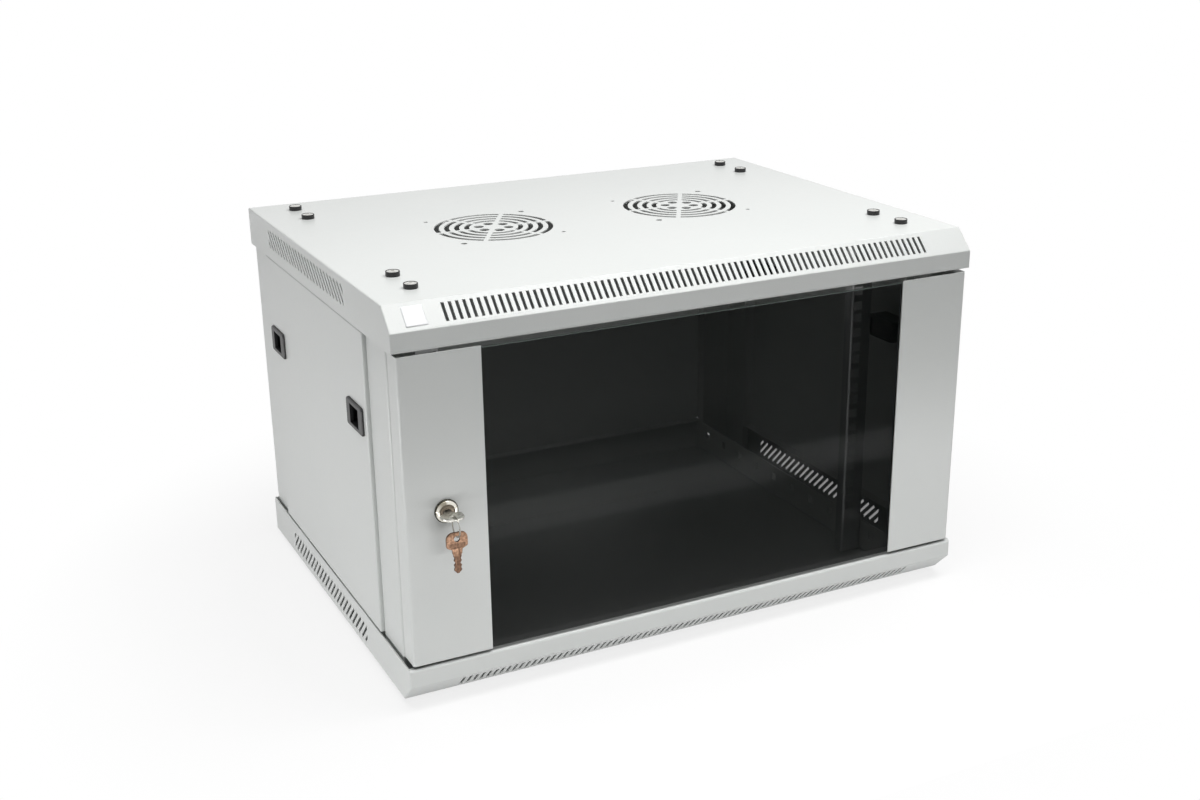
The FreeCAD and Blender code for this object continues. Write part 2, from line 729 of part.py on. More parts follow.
# ---- side panels ----
def side_panel():
    """Pan-shaped panel with two latch windows and two tabs that drop behind the base's lip."""
    y_span = (FRAME_MID - PANEL_HALF, FRAME_MID + PANEL_HALF)
    pan = block((PANEL_OUT - PANEL_DEPTH, PANEL_OUT), y_span, (PANEL_BOTTOM, PANEL_TOP))
    inner_edge = PANEL_OUT - PANEL_DEPTH + 1e-3
    folds = [edge for edge in pan.Edges if edge.BoundBox.XMax > inner_edge]
    pan = pan.makeFillet(BEND_R, folds)
    hollow = block((PANEL_OUT - PANEL_DEPTH - 1, PANEL_OUT - PANEL_T),
                   (y_span[0] + PANEL_T, y_span[1] - PANEL_T),
                   (PANEL_BOTTOM + PANEL_T, PANEL_TOP - PANEL_T))
    pan = pan.cut(hollow)
    tab_x = (PANEL_OUT - PANEL_TAB_INSET - PANEL_T, PANEL_OUT - PANEL_TAB_INSET)
    for side in (-1, 1):
        y = FRAME_MID + side * PANEL_TAB_OFFSET
        tab_z = (PANEL_BOTTOM - PANEL_TAB_H, PANEL_BOTTOM + PANEL_T)
        pan = pan.fuse(block(tab_x, (y - PANEL_TAB_W / 2, y + PANEL_TAB_W / 2), tab_z))
    windows = []
    for side in (-1, 1):
        outline = rectangle(FRAME_MID + side * LATCH_OFFSET, LATCH_Z,
                            LATCH_BODY_W + 2 * LATCH_PLAY, LATCH_BODY_H + 2 * LATCH_PLAY)
        windows.append(prism(outline, "X", PANEL_OUT - PANEL_T - 1, PANEL_OUT + 1))
    return pan.cut(windows)


def side_panels():
    sides = pair(side_panel())
    return {"side_panel_left": sides["left"], "side_panel_right": sides["right"]}


# ---- latches: drawn at the right front, with the post on their low-Y side ----
LATCH_Y = FRAME_MID - LATCH_OFFSET
LATCH_BACK = PANEL_OUT - LATCH_BODY_D
SLIDER_BACK = LATCH_BACK + LATCH_LEDGE + LATCH_PLAY
SLIDER_FACE = SLIDER_BACK + SLIDER_T
SLIDER_END = LATCH_Y - LATCH_BODY_W / 2 + LATCH_WALL + LATCH_PLAY + SLIDER_TRAVEL
INNER_H = LATCH_BODY_H - 2 * LATCH_WALL
RIB_TOP = SLIDER_FACE + LATCH_PLAY + LATCH_LEDGE


def latch_housing():
    """Moulded housing: proud bezel with a finger pocket, open box and guides for the slider."""
    face = PANEL_OUT + LATCH_PROUD
    bezel = prism(rectangle(LATCH_Y, LATCH_Z, LATCH_W, LATCH_H, LATCH_CORNER_R), "X", PANEL_OUT, face)
    rim = [edge for edge in bezel.Edges if edge.BoundBox.XMin > face - 1e-3]
    bezel = bezel.makeChamfer(LATCH_EDGE, rim)
    box = block((LATCH_BACK, PANEL_OUT),
                (LATCH_Y - LATCH_BODY_W / 2, LATCH_Y + LATCH_BODY_W / 2),
                (LATCH_Z - LATCH_BODY_H / 2, LATCH_Z + LATCH_BODY_H / 2))
    housing = bezel.fuse(box)
    inner_w = LATCH_BODY_W - 2 * LATCH_WALL
    narrow_h = INNER_H - 2 * LATCH_LEDGE_REACH
    front_wall = PANEL_OUT - PANEL_T
    wide = ((LATCH_BACK + LATCH_LEDGE, SLIDER_FACE + LATCH_PLAY), (RIB_TOP, front_wall))
    cuts = [prism(rectangle(LATCH_Y, LATCH_Z, inner_w, INNER_H), "X", *span) for span in wide]
    cuts.append(prism(rectangle(LATCH_Y, LATCH_Z, inner_w, narrow_h), "X", LATCH_BACK - 1, front_wall))
    cuts.append(prism(rectangle(LATCH_Y, LATCH_Z, LATCH_POCKET_W, LATCH_POCKET_H),
                      "X", front_wall, face + 1))
    end = LATCH_Y - LATCH_BODY_W / 2
    slot_half = TONGUE_H / 2 + LATCH_PLAY
    cuts.append(block((LATCH_BACK + LATCH_LEDGE, SLIDER_FACE + LATCH_PLAY), (end - 1, end + LATCH_WALL),
                      (LATCH_Z - slot_half, LATCH_Z + slot_half)))
    return housing.cut(cuts)


def latch_slider():
    """Sliding plate with a finger bar and a tongue, drawn clear of the post."""
    plate = prism(rectangle(SLIDER_END + SLIDER_L / 2, LATCH_Z, SLIDER_L, INNER_H - 2 * LATCH_PLAY),
                  "X", SLIDER_BACK, SLIDER_FACE)
    bar_y = LATCH_Y + LATCH_POCKET_W / 2 - SLIDER_BAR_W / 2 - 1
    bar_h = INNER_H - 2 * LATCH_LEDGE_REACH - 2 * LATCH_PLAY
    bar = prism(rectangle(bar_y, LATCH_Z, SLIDER_BAR_W, bar_h), "X", SLIDER_FACE, SLIDER_FACE + SLIDER_BAR_H)
    top = [edge for edge in bar.Edges if edge.BoundBox.XMin > SLIDER_FACE + SLIDER_BAR_H - 1e-3]
    bar = bar.makeChamfer(SLIDER_BAR_EDGE, top)
    tip = LATCH_Y - LATCH_BODY_W / 2 - LATCH_PLAY
    tongue = block((SLIDER_BACK, SLIDER_FACE - LATCH_PLAY), (tip, SLIDER_END),
                   (LATCH_Z - TONGUE_H / 2, LATCH_Z + TONGUE_H / 2))
    return plate.fuse(bar).fuse(tongue)


def latches():
    nodes = {}
    for name, shape in (("latch_housing", latch_housing()), ("latch_slider", latch_slider())):
        rear = mirrored(shape, Y_AXIS, FRAME_MID)
        for side, piece in pair(shape).items():
            nodes[name + "_" + side + "_front"] = piece
        for side, piece in pair(rear).items():
            nodes[name + "_" + side + "_rear"] = piece
    return nodes


# ---- door ----
def door_strips():
    """Steel strips at the door's edges: face, rounded outer return and inward lip."""
    line = [
        (STRIP_IN, FRONT),
        (DOOR_OUT, FRONT),
        (DOOR_OUT, FRONT + DOOR_DEPTH),
        (DOOR_OUT - STRIP_LIP, FRONT + DOOR_DEPTH),
    ]
    strip = prism(folded(line, DOOR_T, STRIP_BEND), "Z", -DOOR_HALF_H, DOOR_HALF_H)
    sides = pair(strip)
    lock_hole = rod("Y", LOCK_X, 0, FRONT - 1, STRIP_BACK + 1, LOCK_BARREL_R + FIT)
    return {"door_strip_left": sides["left"].cut(lock_hole), "door_strip_right": sides["right"]}


def door_glass():
    half_w = STRIP_IN + GLASS_LAP
    z_span = (-DOOR_HALF_H, DOOR_HALF_H - GLASS_DROP)
    pane = block((-half_w, half_w), (GLASS_FRONT, GLASS_BACK), z_span)
    return {"door_glass": pane.makeChamfer(GLASS_EDGE, pane.Edges)}


def glass_fixings():
    """Foam tape in front of the glass, and the clamp behind it that is welded to the strip."""
    tape_x = STRIP_IN + 1
    half_h = DOOR_HALF_H - CLAMP_END
    tape = block((tape_x, tape_x + TAPE_W), (STRIP_BACK, GLASS_FRONT), (-half_h, half_h))
    clamp_x = STRIP_IN + CLAMP_INSET
    step_x = STRIP_IN + GLASS_LAP + 2 * CLAMP_T
    line = [
        (clamp_x + CLAMP_W, STRIP_BACK + CLAMP_T),
        (step_x, STRIP_BACK + CLAMP_T),
        (step_x, GLASS_BACK + CLAMP_T),
        (clamp_x, GLASS_BACK + CLAMP_T),
    ]
    clamp = prism(folded(line, CLAMP_T, 0.3), "Z", -half_h, half_h)
    nodes = {}
    for name, shape in (("glass_tape", tape), ("glass_clamp", clamp)):
        for side, piece in pair(shape).items():
            nodes[name + "_" + side] = piece
    return nodes


def door_buffers():
    """Two rubber pads on the left post, on which the closed door's lip lands."""
    x = BUFFER_INSET - DOOR_OUT
    front = POST_FRONT - DOOR_GAP + WASHER_PLAY
    pads = [rod("Y", x, z, front, POST_FRONT, BUFFER_R) for z in (-BUFFER_Z, BUFFER_Z)]
    return {"door_buffers": Part.makeCompound(pads)}


def hinge_top():
    """Top hinge: folded bracket on the post, headed pin and bored block in the door."""
    line = [
        (POST_FRONT - BRACKET_REACH, BRACKET_Z),
        (POST_FRONT, BRACKET_Z),
        (POST_FRONT, BRACKET_Z + BRACKET_LEG),
    ]
    x_span = (POST_OUT - BRACKET_W, POST_OUT)
    bracket = prism(folded(line, BRACKET_T, FRAME_BEND), "X", *x_span)
    plate_top = BRACKET_Z + BRACKET_T
    bracket = bracket.cut(rod("Z", HINGE_X, HINGE_Y, BRACKET_Z - 1, plate_top + 1, PIN_R + PIN_FIT))
    pin = rod("Z", HINGE_X, HINGE_Y, DOOR_HALF_H - PIN_REACH, plate_top, PIN_R)
    pin = pin.fuse(rod("Z", HINGE_X, HINGE_Y, plate_top, plate_top + PIN_HEAD_H, PIN_HEAD_R))
    x_wall = DOOR_OUT - DOOR_T
    outline = rectangle(x_wall - BLOCK_W / 2, STRIP_BACK + BLOCK_D / 2, BLOCK_W, BLOCK_D)
    outline[1] = outline[1][:2] + (STRIP_BEND + FIT,)
    low = DOOR_HALF_H - BLOCK_H
    holder = prism(outline, "Z", low, DOOR_HALF_H)
    holder = holder.cut(rod("Z", HINGE_X, HINGE_Y, low, DOOR_HALF_H, PIN_R + PIN_FIT))
    return {"hinge_bracket": bracket, "hinge_pin": pin, "hinge_block": holder}


def hinges():
    nodes = {}
    for name, shape in hinge_top().items():
        nodes[name + "_top"] = shape
        nodes[name + "_bottom"] = mirrored(shape, Z_AXIS)
    low = -BRACKET_Z
    high = -DOOR_HALF_H - WASHER_PLAY
    nodes["hinge_washer"] = ring("Z", HINGE_X, HINGE_Y, low, high, WASHER_R, PIN_R + PIN_FIT)
    return nodes


# ---- cam lock ----
def lock_section():
    """Half section of the lock body: bevelled flange in front and long barrel behind."""
    back = FRONT - BEZEL_H
    return [
        (PLUG_R + PLUG_FIT, LOCK_FACE),
        (LOCK_FLANGE_R - LOCK_BEVEL, LOCK_FACE),
        (LOCK_FLANGE_R, LOCK_FACE + LOCK_BEVEL),
        (LOCK_FLANGE_R, back),
        (LOCK_BARREL_R, back),
        (LOCK_BARREL_R, FRONT + LOCK_BARREL_L),
        (PLUG_R + PLUG_FIT, FRONT + LOCK_BARREL_L),
    ]


def lock_body():
    wire = closed_wire(lock_section(), lambda r, y: vec(r, y, 0))
    body = Part.Face(wire).revolve(vec(0, 0, 0), Y_AXIS, 360)
    body.translate(vec(LOCK_X, 0, 0))
    return body


def lock_plug():
    """Round plug with a level keyway in front, a square tail and a hole for the cam's screw."""
    front = LOCK_FACE + PLUG_INSET
    plug = rod("Y", LOCK_X, 0, front, CAM_FRONT, PLUG_R)
    tail = prism(rectangle(LOCK_X, 0, CAM_SQUARE, CAM_SQUARE), "Y", CAM_FRONT, CAM_BACK)
    keyway = prism(rectangle(LOCK_X, 0, KEYWAY_W, KEYWAY_H), "Y", front - 1, front + KEYWAY_D)
    thread = rod("Y", LOCK_X, 0, CAM_BACK - CAM_SCREW_L, CAM_BACK, CAM_SCREW_R + FIT)
    return plug.fuse(tail).cut([keyway, thread])


def lock_cam():
    """Flat cam that hangs down when the door is free and turns behind the post."""
    half = CAM_W / 2
    outline = [
        (LOCK_X - CAM_HUB, CAM_HUB, CAM_HUB - 1),
        (LOCK_X - CAM_HUB, -CAM_HUB, 2),
        (LOCK_X - half, -CAM_HUB - 2, 2),
        (LOCK_X - half, -CAM_L, 3),
        (LOCK_X + half, -CAM_L, 3),
        (LOCK_X + half, -CAM_HUB - 2, 2),
        (LOCK_X + CAM_HUB, -CAM_HUB, 2),
        (LOCK_X + CAM_HUB, CAM_HUB, CAM_HUB - 1),
    ]
    plate = prism(outline, "Y", CAM_FRONT, CAM_BACK)
    square = CAM_SQUARE + 2 * FIT
    return plate.cut(prism(rectangle(LOCK_X, 0, square, square), "Y", CAM_FRONT, CAM_BACK))


def lock():
    barrel_nut = hexagon(LOCK_NUT_AF, "Y", LOCK_X, 0, STRIP_BACK, STRIP_BACK + LOCK_NUT_H)
    bore = rod("Y", LOCK_X, 0, STRIP_BACK, STRIP_BACK + LOCK_NUT_H, LOCK_BARREL_R + FIT)
    head = rod("Y", LOCK_X, 0, CAM_BACK, CAM_BACK + CAM_SCREW_HEAD_H, CAM_SCREW_HEAD_R)
    shank = rod("Y", LOCK_X, 0, CAM_BACK - CAM_SCREW_L + 1, CAM_BACK, CAM_SCREW_R)
    return {
        "lock_bezel": ring("Y", LOCK_X, 0, FRONT - BEZEL_H, FRONT, BEZEL_R, LOCK_BARREL_R + FIT),
        "lock_body": lock_body(),
        "lock_nut": barrel_nut.cut(bore),
        "lock_plug": lock_plug(),
        "lock_cam": lock_cam(),
        "cam_screw": head.fuse(shank),
    }


# ---- keys and ring ----
def key_outline():
    """Key seen flat: bow with its hole at the origin, blade towards +b with cuts on both edges."""
    half_bow = KEY_BOW_W / 2
    half = KEY_BLADE_W / 2
    end = -(KEY_RIM + KEY_HOLE_R)
    neck = end + KEY_BOW_L
    tip = neck + KEY_BLADE_L
    side = [(half_bow, end, KEY_BOW_R), (half_bow, neck - KEY_SHOULDER, KEY_SHOULDER_R), (half, neck, 0.8)]
    pitch = (KEY_BLADE_L - KEY_PLAIN - KEY_TIP) / KEY_CUTS
    for i in range(KEY_CUTS):
        start = neck + KEY_PLAIN + i * pitch
        depth = KEY_CUT_DEPTH * (0.6 + 0.4 * (i % 2))
        side += [(half, start), (half - depth, start + pitch / 2)]
    side += [(half, tip - KEY_TIP), (half / 2, tip)]
    return side + [(-corner[0],) + corner[1:] for corner in reversed(side)]


def key(axis):
    """Key as a plate along an axis, with the ring hole at the origin."""
    plate = prism(key_outline(), axis, -KEY_T / 2, KEY_T / 2)
    return plate.cut(rod(axis, 0, 0, -KEY_T, KEY_T, KEY_HOLE_R))


def wire_ring():
    """Closed wire ring standing in the plane across X."""
    step = 2 * math.pi / RING_FACETS
    turns = [step * (i + 0.5) for i in range(RING_FACETS)]
    section = [(RING_R + RING_WIRE_R * math.cos(t), RING_WIRE_R * math.sin(t)) for t in turns]
    wire = closed_wire(section, lambda r, x: vec(x, r, 0))
    hoop = Part.Face(wire).revolve(vec(0, 0, 0), X_AXIS, 360)
    hoop.translate(vec(LOCK_X, RING_Y, RING_Z))
    return hoop


def keys():
    """Key in the lock, wire ring through its bow, and the spare key hanging from the ring."""
    in_lock = key("Z")
    in_lock.translate(vec(LOCK_X, KEY_HOLE_Y, 0))
    spare = mirrored(key("Y"), Z_AXIS)
    spare.translate(vec(LOCK_X, RING_Y, SPARE_HOLE_Z))
    return {"lock_key": in_lock, "key_ring": wire_ring(), "spare_key": spare}


# ---- all the pieces ----
def all_nodes():
    nodes = {}
    makers = (covers, floor_entry, cover_screws, posts, side_rails, rack_rails, rack_bolts,
              rear_panel, side_panels, latches, door_strips, door_glass, glass_fixings,
              door_buffers, hinges, lock, keys)
    for maker in makers:
        nodes.update(maker())
    return nodes


os.makedirs("parts", exist_ok=True)
for node_name, node_shape in sorted(all_nodes().items()):
    node_shape.exportStep("parts/" + node_name + ".step")
    print(node_name, len(node_shape.Solids), round(node_shape.Volume, 1), node_shape.isValid())
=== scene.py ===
"""Looks of the wall mount network cabinet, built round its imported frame.

Metres, in the frame's own axes: X to the right, Y towards the wall, Z up. The steel, glass and
plastic of the frame keep their shapes and get their finishes here. The screws, cup washers, lock,
keys, wire ring and sticker are made here in more detail and stand for the plain solids.
"""
import json
import math

import bmesh
import bpy
from mathutils import Matrix, Vector


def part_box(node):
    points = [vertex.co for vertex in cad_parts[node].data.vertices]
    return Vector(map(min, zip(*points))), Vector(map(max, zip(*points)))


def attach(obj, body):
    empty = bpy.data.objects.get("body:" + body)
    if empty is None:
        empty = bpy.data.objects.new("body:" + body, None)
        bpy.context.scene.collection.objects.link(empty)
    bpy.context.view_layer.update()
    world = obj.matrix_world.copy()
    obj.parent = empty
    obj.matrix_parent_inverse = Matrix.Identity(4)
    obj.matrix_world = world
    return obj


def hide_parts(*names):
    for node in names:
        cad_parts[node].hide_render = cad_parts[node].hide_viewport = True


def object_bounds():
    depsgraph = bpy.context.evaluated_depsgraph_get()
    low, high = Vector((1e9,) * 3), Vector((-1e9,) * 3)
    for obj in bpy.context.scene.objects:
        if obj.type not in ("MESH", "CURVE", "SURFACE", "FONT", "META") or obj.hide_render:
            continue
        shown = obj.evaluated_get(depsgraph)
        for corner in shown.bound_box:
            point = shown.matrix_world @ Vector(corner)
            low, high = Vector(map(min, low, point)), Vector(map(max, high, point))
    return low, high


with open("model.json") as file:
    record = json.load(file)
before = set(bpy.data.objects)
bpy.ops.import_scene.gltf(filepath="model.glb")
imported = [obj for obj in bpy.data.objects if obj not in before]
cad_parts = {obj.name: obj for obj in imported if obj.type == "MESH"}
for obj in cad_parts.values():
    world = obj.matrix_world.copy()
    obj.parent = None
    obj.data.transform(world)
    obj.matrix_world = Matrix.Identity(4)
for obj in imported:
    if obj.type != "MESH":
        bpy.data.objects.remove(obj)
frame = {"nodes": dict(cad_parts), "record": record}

SOLID_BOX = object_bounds()
MM = 0.001
AXES = {"Y": Vector((0, 1, 0)), "Z": Vector((0, 0, 1))}

# Light of the studio
ROOM_LIGHT = 0.03           # of the white room on the pieces, where 1 is white
FLOOR_BOUNCE = 170          # display step of the floor as the pieces see it
PAPER_GLOW = (0.8, 1.0)     # share of plain white in the shown floor, near the cabinet and far off
PAPER_FADE = (0.38, 0.62)   # distances between which the near floor turns into the far one
FLOOR_HALF = 14             # half the width of the floor
LAMPS = (                   # name, place, aim, width, height, watts
    ("right_box", (0.9, -0.5, 1.7), (0.1, -0.35, 0), 0.9, 0.9, 16.5),
    ("left_box", (-0.7, -0.3, 1.7), (-0.1, -0.3, 0), 0.9, 0.9, 6),
    ("back_card", (0.2, 1.1, 0.0), (0, 0, 0), 1.2, 0.2, 5),
    ("front_box", (-0.1, -0.8, 1.4), (-0.1, -0.7, 0), 1.3, 0.7, 15.5),
    ("front_card", (0, -0.75, -0.165), (0, -0.45, -0.165), 1.3, 0.04, 1.1),
    ("left_card", (-0.9, -0.3, -0.165), (-0.3, -0.25, -0.165), 0.9, 0.04, 2.5),
)

# Lock and keys
MOUTH_R = 7.1 * MM          # of the sunk mouth in the lock's face
MOUTH_DEPTH = 1.1 * MM
KEY_REACH = 6.2 * MM        # from the middle of a key's ring hole to the end of its bow
KEY_NECK = 9.8 * MM         # from the middle of the ring hole to the start of the blade
KEY_BLADE = 22.5 * MM       # length of the blade, its wide neck counted in
KEY_SHOULDER = 4 * MM       # length of the wide neck on the spare key
KEY_HALF_THICK = 1.0 * MM


# ---- shader kit ----
class Value:
    """What a node gives out, with the arithmetic of a plain number."""

    def __init__(self, finish, socket):
        self.finish = finish
        self.socket = socket

    def math(self, operation, *others):
        inputs = dict(enumerate((self,) + others))
        return self.finish.node("ShaderNodeMath", {"operation": operation}, inputs)

    def __add__(self, other):
        return self.math("ADD", other)

    __radd__ = __add__

    def __sub__(self, other):
        return self.math("SUBTRACT", other)

    def __rsub__(self, other):
        return self.finish.node("ShaderNodeMath", {"operation": "SUBTRACT"}, {0: other, 1: self})

    def __mul__(self, other):
        return self.math("MULTIPLY", other)

    __rmul__ = __mul__


class Finish:
    """A material in the making, or the world."""

    def __init__(self, name, owner=None):
        self.owner = owner or bpy.data.materials.new(name)
        self.owner.use_nodes = True
        self.nodes = self.owner.node_tree.nodes
        self.links = self.owner.node_tree.links
        self.nodes.clear()

    def node(self, kind, settings=None, inputs=None, output=0):
        """Adds a node: settings first, then the values or links of its sockets."""
        made = self.nodes.new(kind)
        for key, value in (settings or {}).items():
            setattr(made, key, value)
        for key, value in (inputs or {}).items():
            socket = made.inputs[key]
            if isinstance(value, Value):
                self.links.new(value.socket, socket)
            else:
                socket.default_value = value
        return Value(self, made.outputs[output]) if made.outputs else None

    def place(self):
        """Object coordinates, which are the frame's own metres on every piece."""
        return self.node("ShaderNodeTexCoord", output="Object")

    def along(self, axis):
        return self.node("ShaderNodeSeparateXYZ", {}, {0: self.place()}, axis)

    def stretched(self, scale):
        settings = {"operation": "MULTIPLY"}
        return self.node("ShaderNodeVectorMath", settings, {0: self.place(), 1: scale})

    def noise(self, scale, detail, where=None):
        """Cloudy grain, about scale clouds to the metre, with detail finer layers on them."""
        inputs = {"Vector": where or self.place(), "Scale": scale, "Detail": detail}
        return self.node("ShaderNodeTexNoise", {}, inputs, "Fac")

    def cells(self, scale):
        """Pebbles, about scale of them to the metre."""
        inputs = {"Vector": self.place(), "Scale": scale}
        return self.node("ShaderNodeTexVoronoi", {}, inputs, "Distance")

    def steps(self, value, low, high):
        """0 below low and 1 above high, straight between."""
        inputs = {"Value": value, "From Min": low, "From Max": high}
        return self.node("ShaderNodeMapRange", {"clamp": True}, inputs)

    def blend(self, first, second, share):
        inputs = {"Factor": share, 6: first, 7: second}
        return self.node("ShaderNodeMix", {"data_type": "RGBA"}, inputs, 2)

    def relief(self, height, depth, strength=1.0):
        inputs = {"Height": height, "Distance": depth, "Strength": strength}
        return self.node("ShaderNodeBump", {}, inputs)

    def principled(self, **inputs):
        """Principled shader; the names are its sockets, with _ for a space."""
        named = {key.replace("_", " "): value for key, value in inputs.items()}
        return self.node("ShaderNodeBsdfPrincipled", {}, named)

    def surface(self, **inputs):
        self.node("ShaderNodeOutputMaterial", {}, {"Surface": self.principled(**inputs)})
        return self.owner

    def shown(self):
        """1 for what the camera, a gloss or a clear pane shows, 0 for what lights the pieces."""
        rays = [self.node("ShaderNodeLightPath", output=ray)
                for ray in ("Is Camera Ray", "Is Glossy Ray", "Is Transmission Ray")]
        return rays[0].math("MAXIMUM", rays[1]).math("MAXIMUM", rays[2])


def paint(red, green, blue):
    """Linear colour of a swatch given in display steps from 0 to 255."""
    swatch = []
    for step in (red, green, blue):
        share = step / 255
        swatch.append(share / 12.92 if share < 0.04045 else ((share + 0.055) / 1.055) ** 2.4)
    return tuple(swatch) + (1,)


# ---- finishes ----
def powder_coat():
    """Light grey fine-textured powder coat over folded steel."""
    coat = Finish("light_grey_powder_coat")
    pebbles = coat.cells(620)
    grain = coat.noise(1500, 3)
    swell = coat.noise(170, 1)
    texture = pebbles * 0.55 + grain * 0.45 + swell * 0.5
    cloud = coat.noise(7, 3)
    speck = coat.steps(coat.noise(900, 2), 0.62, 0.75)
    grey = coat.blend(paint(206, 209, 207), paint(211, 213, 211), cloud)
    tone = coat.blend(grey, paint(196, 199, 197), speck * 0.5)
    return coat.surface(Base_Color=tone, Roughness=0.27 + texture * 0.12,
                        Specular_IOR_Level=0.55, Normal=coat.relief(texture, 0.07 * MM, 0.7))


def zinc_plate():
    """Bright zinc on rails, clamps and nuts, with a faint drawn grain and cloudy passivation."""
    zinc = Finish("zinc_plate")
    drawn = zinc.noise(60, 3, zinc.stretched((14, 14, 0.8)))
    cloud = zinc.noise(45, 4)
    tone = zinc.blend(paint(176, 178, 180), paint(204, 205, 203), cloud)
    return zinc.surface(Base_Color=tone, Metallic=1.0,
                        Roughness=0.28 + drawn * 0.16 + cloud * 0.08,
                        Normal=zinc.relief(drawn, 0.02 * MM, 0.6))


def tinted_glass():
    """Dark toughened glass whose polished top edge carries a painted highlight."""
    glass = Finish("tinted_glass")
    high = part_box("door_glass")[1]
    # Painted highlight: the top half millimetre of the pane turns light green-grey and less clear,
    # standing for the light its polished edge catches.
    edge = glass.steps(glass.along("Z"), high.z - 0.5 * MM, high.z - 0.1 * MM)
    smear = glass.steps(glass.noise(11, 4, glass.stretched((1, 1, 2.2))), 0.48, 0.72)
    tone = glass.blend(paint(5, 7, 6), paint(118, 128, 124), edge)
    return glass.surface(Base_Color=tone, Roughness=0.035 + smear * 0.05, IOR=1.45,
                         Specular_IOR_Level=0.03, Alpha=0.5 + edge * 0.4)


def foam_tape():
    """Black foam with open pores."""
    foam = Finish("foam_tape")
    pores = foam.cells(2600)
    return foam.surface(Base_Color=paint(30, 30, 31), Roughness=0.9,
                        Normal=foam.relief(pores, 0.08 * MM))


def moulded_black(name, roughness):
    """Black nylon with the fine grain of a spark-eroded mould."""
    nylon = Finish(name)
    grain = nylon.noise(2400, 3)
    rub = nylon.steps(nylon.noise(140, 4), 0.5, 0.8)
    tone = nylon.blend(paint(17, 17, 18), paint(30, 30, 31), rub)
    return nylon.surface(Base_Color=tone, Roughness=roughness + grain * 0.14 - rub * 0.05,
                         Normal=nylon.relief(grain, 0.02 * MM, 0.7))


def rubber():
    """Dusty black rubber of the door's buffers."""
    pad = Finish("rubber")
    dust = pad.noise(700, 3)
    tone = pad.blend(paint(22, 22, 22), paint(44, 43, 41), dust)
    return pad.surface(Base_Color=tone, Roughness=0.78, Normal=pad.relief(dust, 0.03 * MM))


def nickel(name, light, dark, roughness):
    """Plated metal with fine scratches one way and a little handling haze."""
    plate = Finish(name)
    scratches = plate.noise(900, 2, plate.stretched((0.25, 1, 3.2)))
    haze = plate.noise(260, 3)
    tone = plate.blend(dark, light, plate.steps(haze, 0.3, 0.65))
    return plate.surface(Base_Color=tone, Metallic=1.0,
                         Roughness=roughness + scratches * 0.12 + haze * 0.08,
                         Normal=plate.relief(scratches, 0.012 * MM, 0.5))


def struck_key(name, light, dark, grime_and_shade, hanging=None):
    """Plated key with a little dirt in fine speckles.

    The box of a hanging key places painted shade that makes its stamped hollows and its blade
    darker than the bow.
    """
    plate = Finish(name)
    grain = plate.noise(1300, 4)
    stain = plate.noise(420, 3)
    tone = plate.blend(dark, light, plate.steps(stain, 0.34, 0.62))
    tone = plate.blend(tone, grime_and_shade, plate.steps(grain, 0.56, 0.7) * 0.5)
    # Painted shade: with a hanging key's box, its stamped hollows and its blade below the bow
    # blend towards the dark third colour.
    if hanging:
        low, high = hanging
        blade_shade_top = high.z - 19 * MM
        blade_shade_full = high.z - 23 * MM
        off_middle = (plate.along("Y") - (low.y + high.y) / 2).math("ABSOLUTE")
        painted_hollow_shade = plate.steps(off_middle, 0.86 * MM, 0.76 * MM)
        blade = plate.steps(plate.along("Z"), blade_shade_top, blade_shade_full)
        tone = plate.blend(tone, grime_and_shade, painted_hollow_shade.math("MAXIMUM", blade) * 0.55)
    return plate.surface(Base_Color=tone, Metallic=1.0, Roughness=0.26 + grain * 0.25,
                         Normal=plate.relief(grain + stain, 0.05 * MM, 0.8))


def turned_nickel():
    """Nickel of the lock's face: fine turning marks, painted glints round the face, dull and
    browner inside the mouth.
    """
    plate = Finish("turned_nickel")
    middle = middle_of(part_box("lock_bezel"))
    x = plate.along("X") - middle.x
    z = plate.along("Z") - middle.z
    radius = (x * x + z * z).math("SQRT")
    marks = 21000               # radians of the turning marks to the metre
    rings = (radius * marks).math("SINE") * 0.5 + 0.5
    turn = x.math("ARCTAN2", z)
    # Painted reflection: the face's colour turns lighter and darker round its axis, standing for
    # glints of the studio in the nickel.
    painted_glint = plate.node("ShaderNodeTexNoise", {"noise_dimensions": "1D"},
                       {"W": turn, "Scale": 0.9, "Detail": 1.0}, "Fac")
    inside = plate.steps(radius, MOUTH_R + 0.1 * MM, MOUTH_R)
    grit = plate.noise(1500, 4)
    painted_glint_share = plate.steps(painted_glint, 0.34, 0.56)
    face = plate.blend(paint(150, 144, 129), paint(226, 223, 213), painted_glint_share)
    pale = plate.steps(grit, 0.35, 0.65)
    dull = plate.blend(paint(84, 74, 60), paint(158, 148, 134), pale)
    return plate.surface(Base_Color=plate.blend(face, dull, inside), Metallic=1.0,
                         Roughness=0.16 + inside * 0.3 + rings * 0.05,
                         Normal=plate.relief(rings * 0.12 + inside * grit * 3.0, 0.02 * MM, 0.5))


def dull_plug():
    """Die-cast plug face, pitted and brownish, with painted shade turning it black down its
    keyway.
    """
    cast = Finish("die_cast_plug")
    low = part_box("lock_plug")[0]
    grit = cast.noise(1500, 4)
    # Painted shade: deeper than 1.2 mm behind the plug's front, the colour turns nearly black,
    # standing for the shade down the keyway.
    keyway = cast.steps(cast.along("Y"), low.y + 1.2 * MM, low.y + 3.2 * MM)
    pale = cast.steps(grit, 0.35, 0.65)
    tone = cast.blend(paint(84, 74, 60), paint(166, 156, 142), pale)
    tone = cast.blend(tone, paint(16, 13, 10), keyway)
    return cast.surface(Base_Color=tone, Metallic=1.0, Roughness=0.42 + grit * 0.2,
                        Normal=cast.relief(grit, 0.06 * MM))


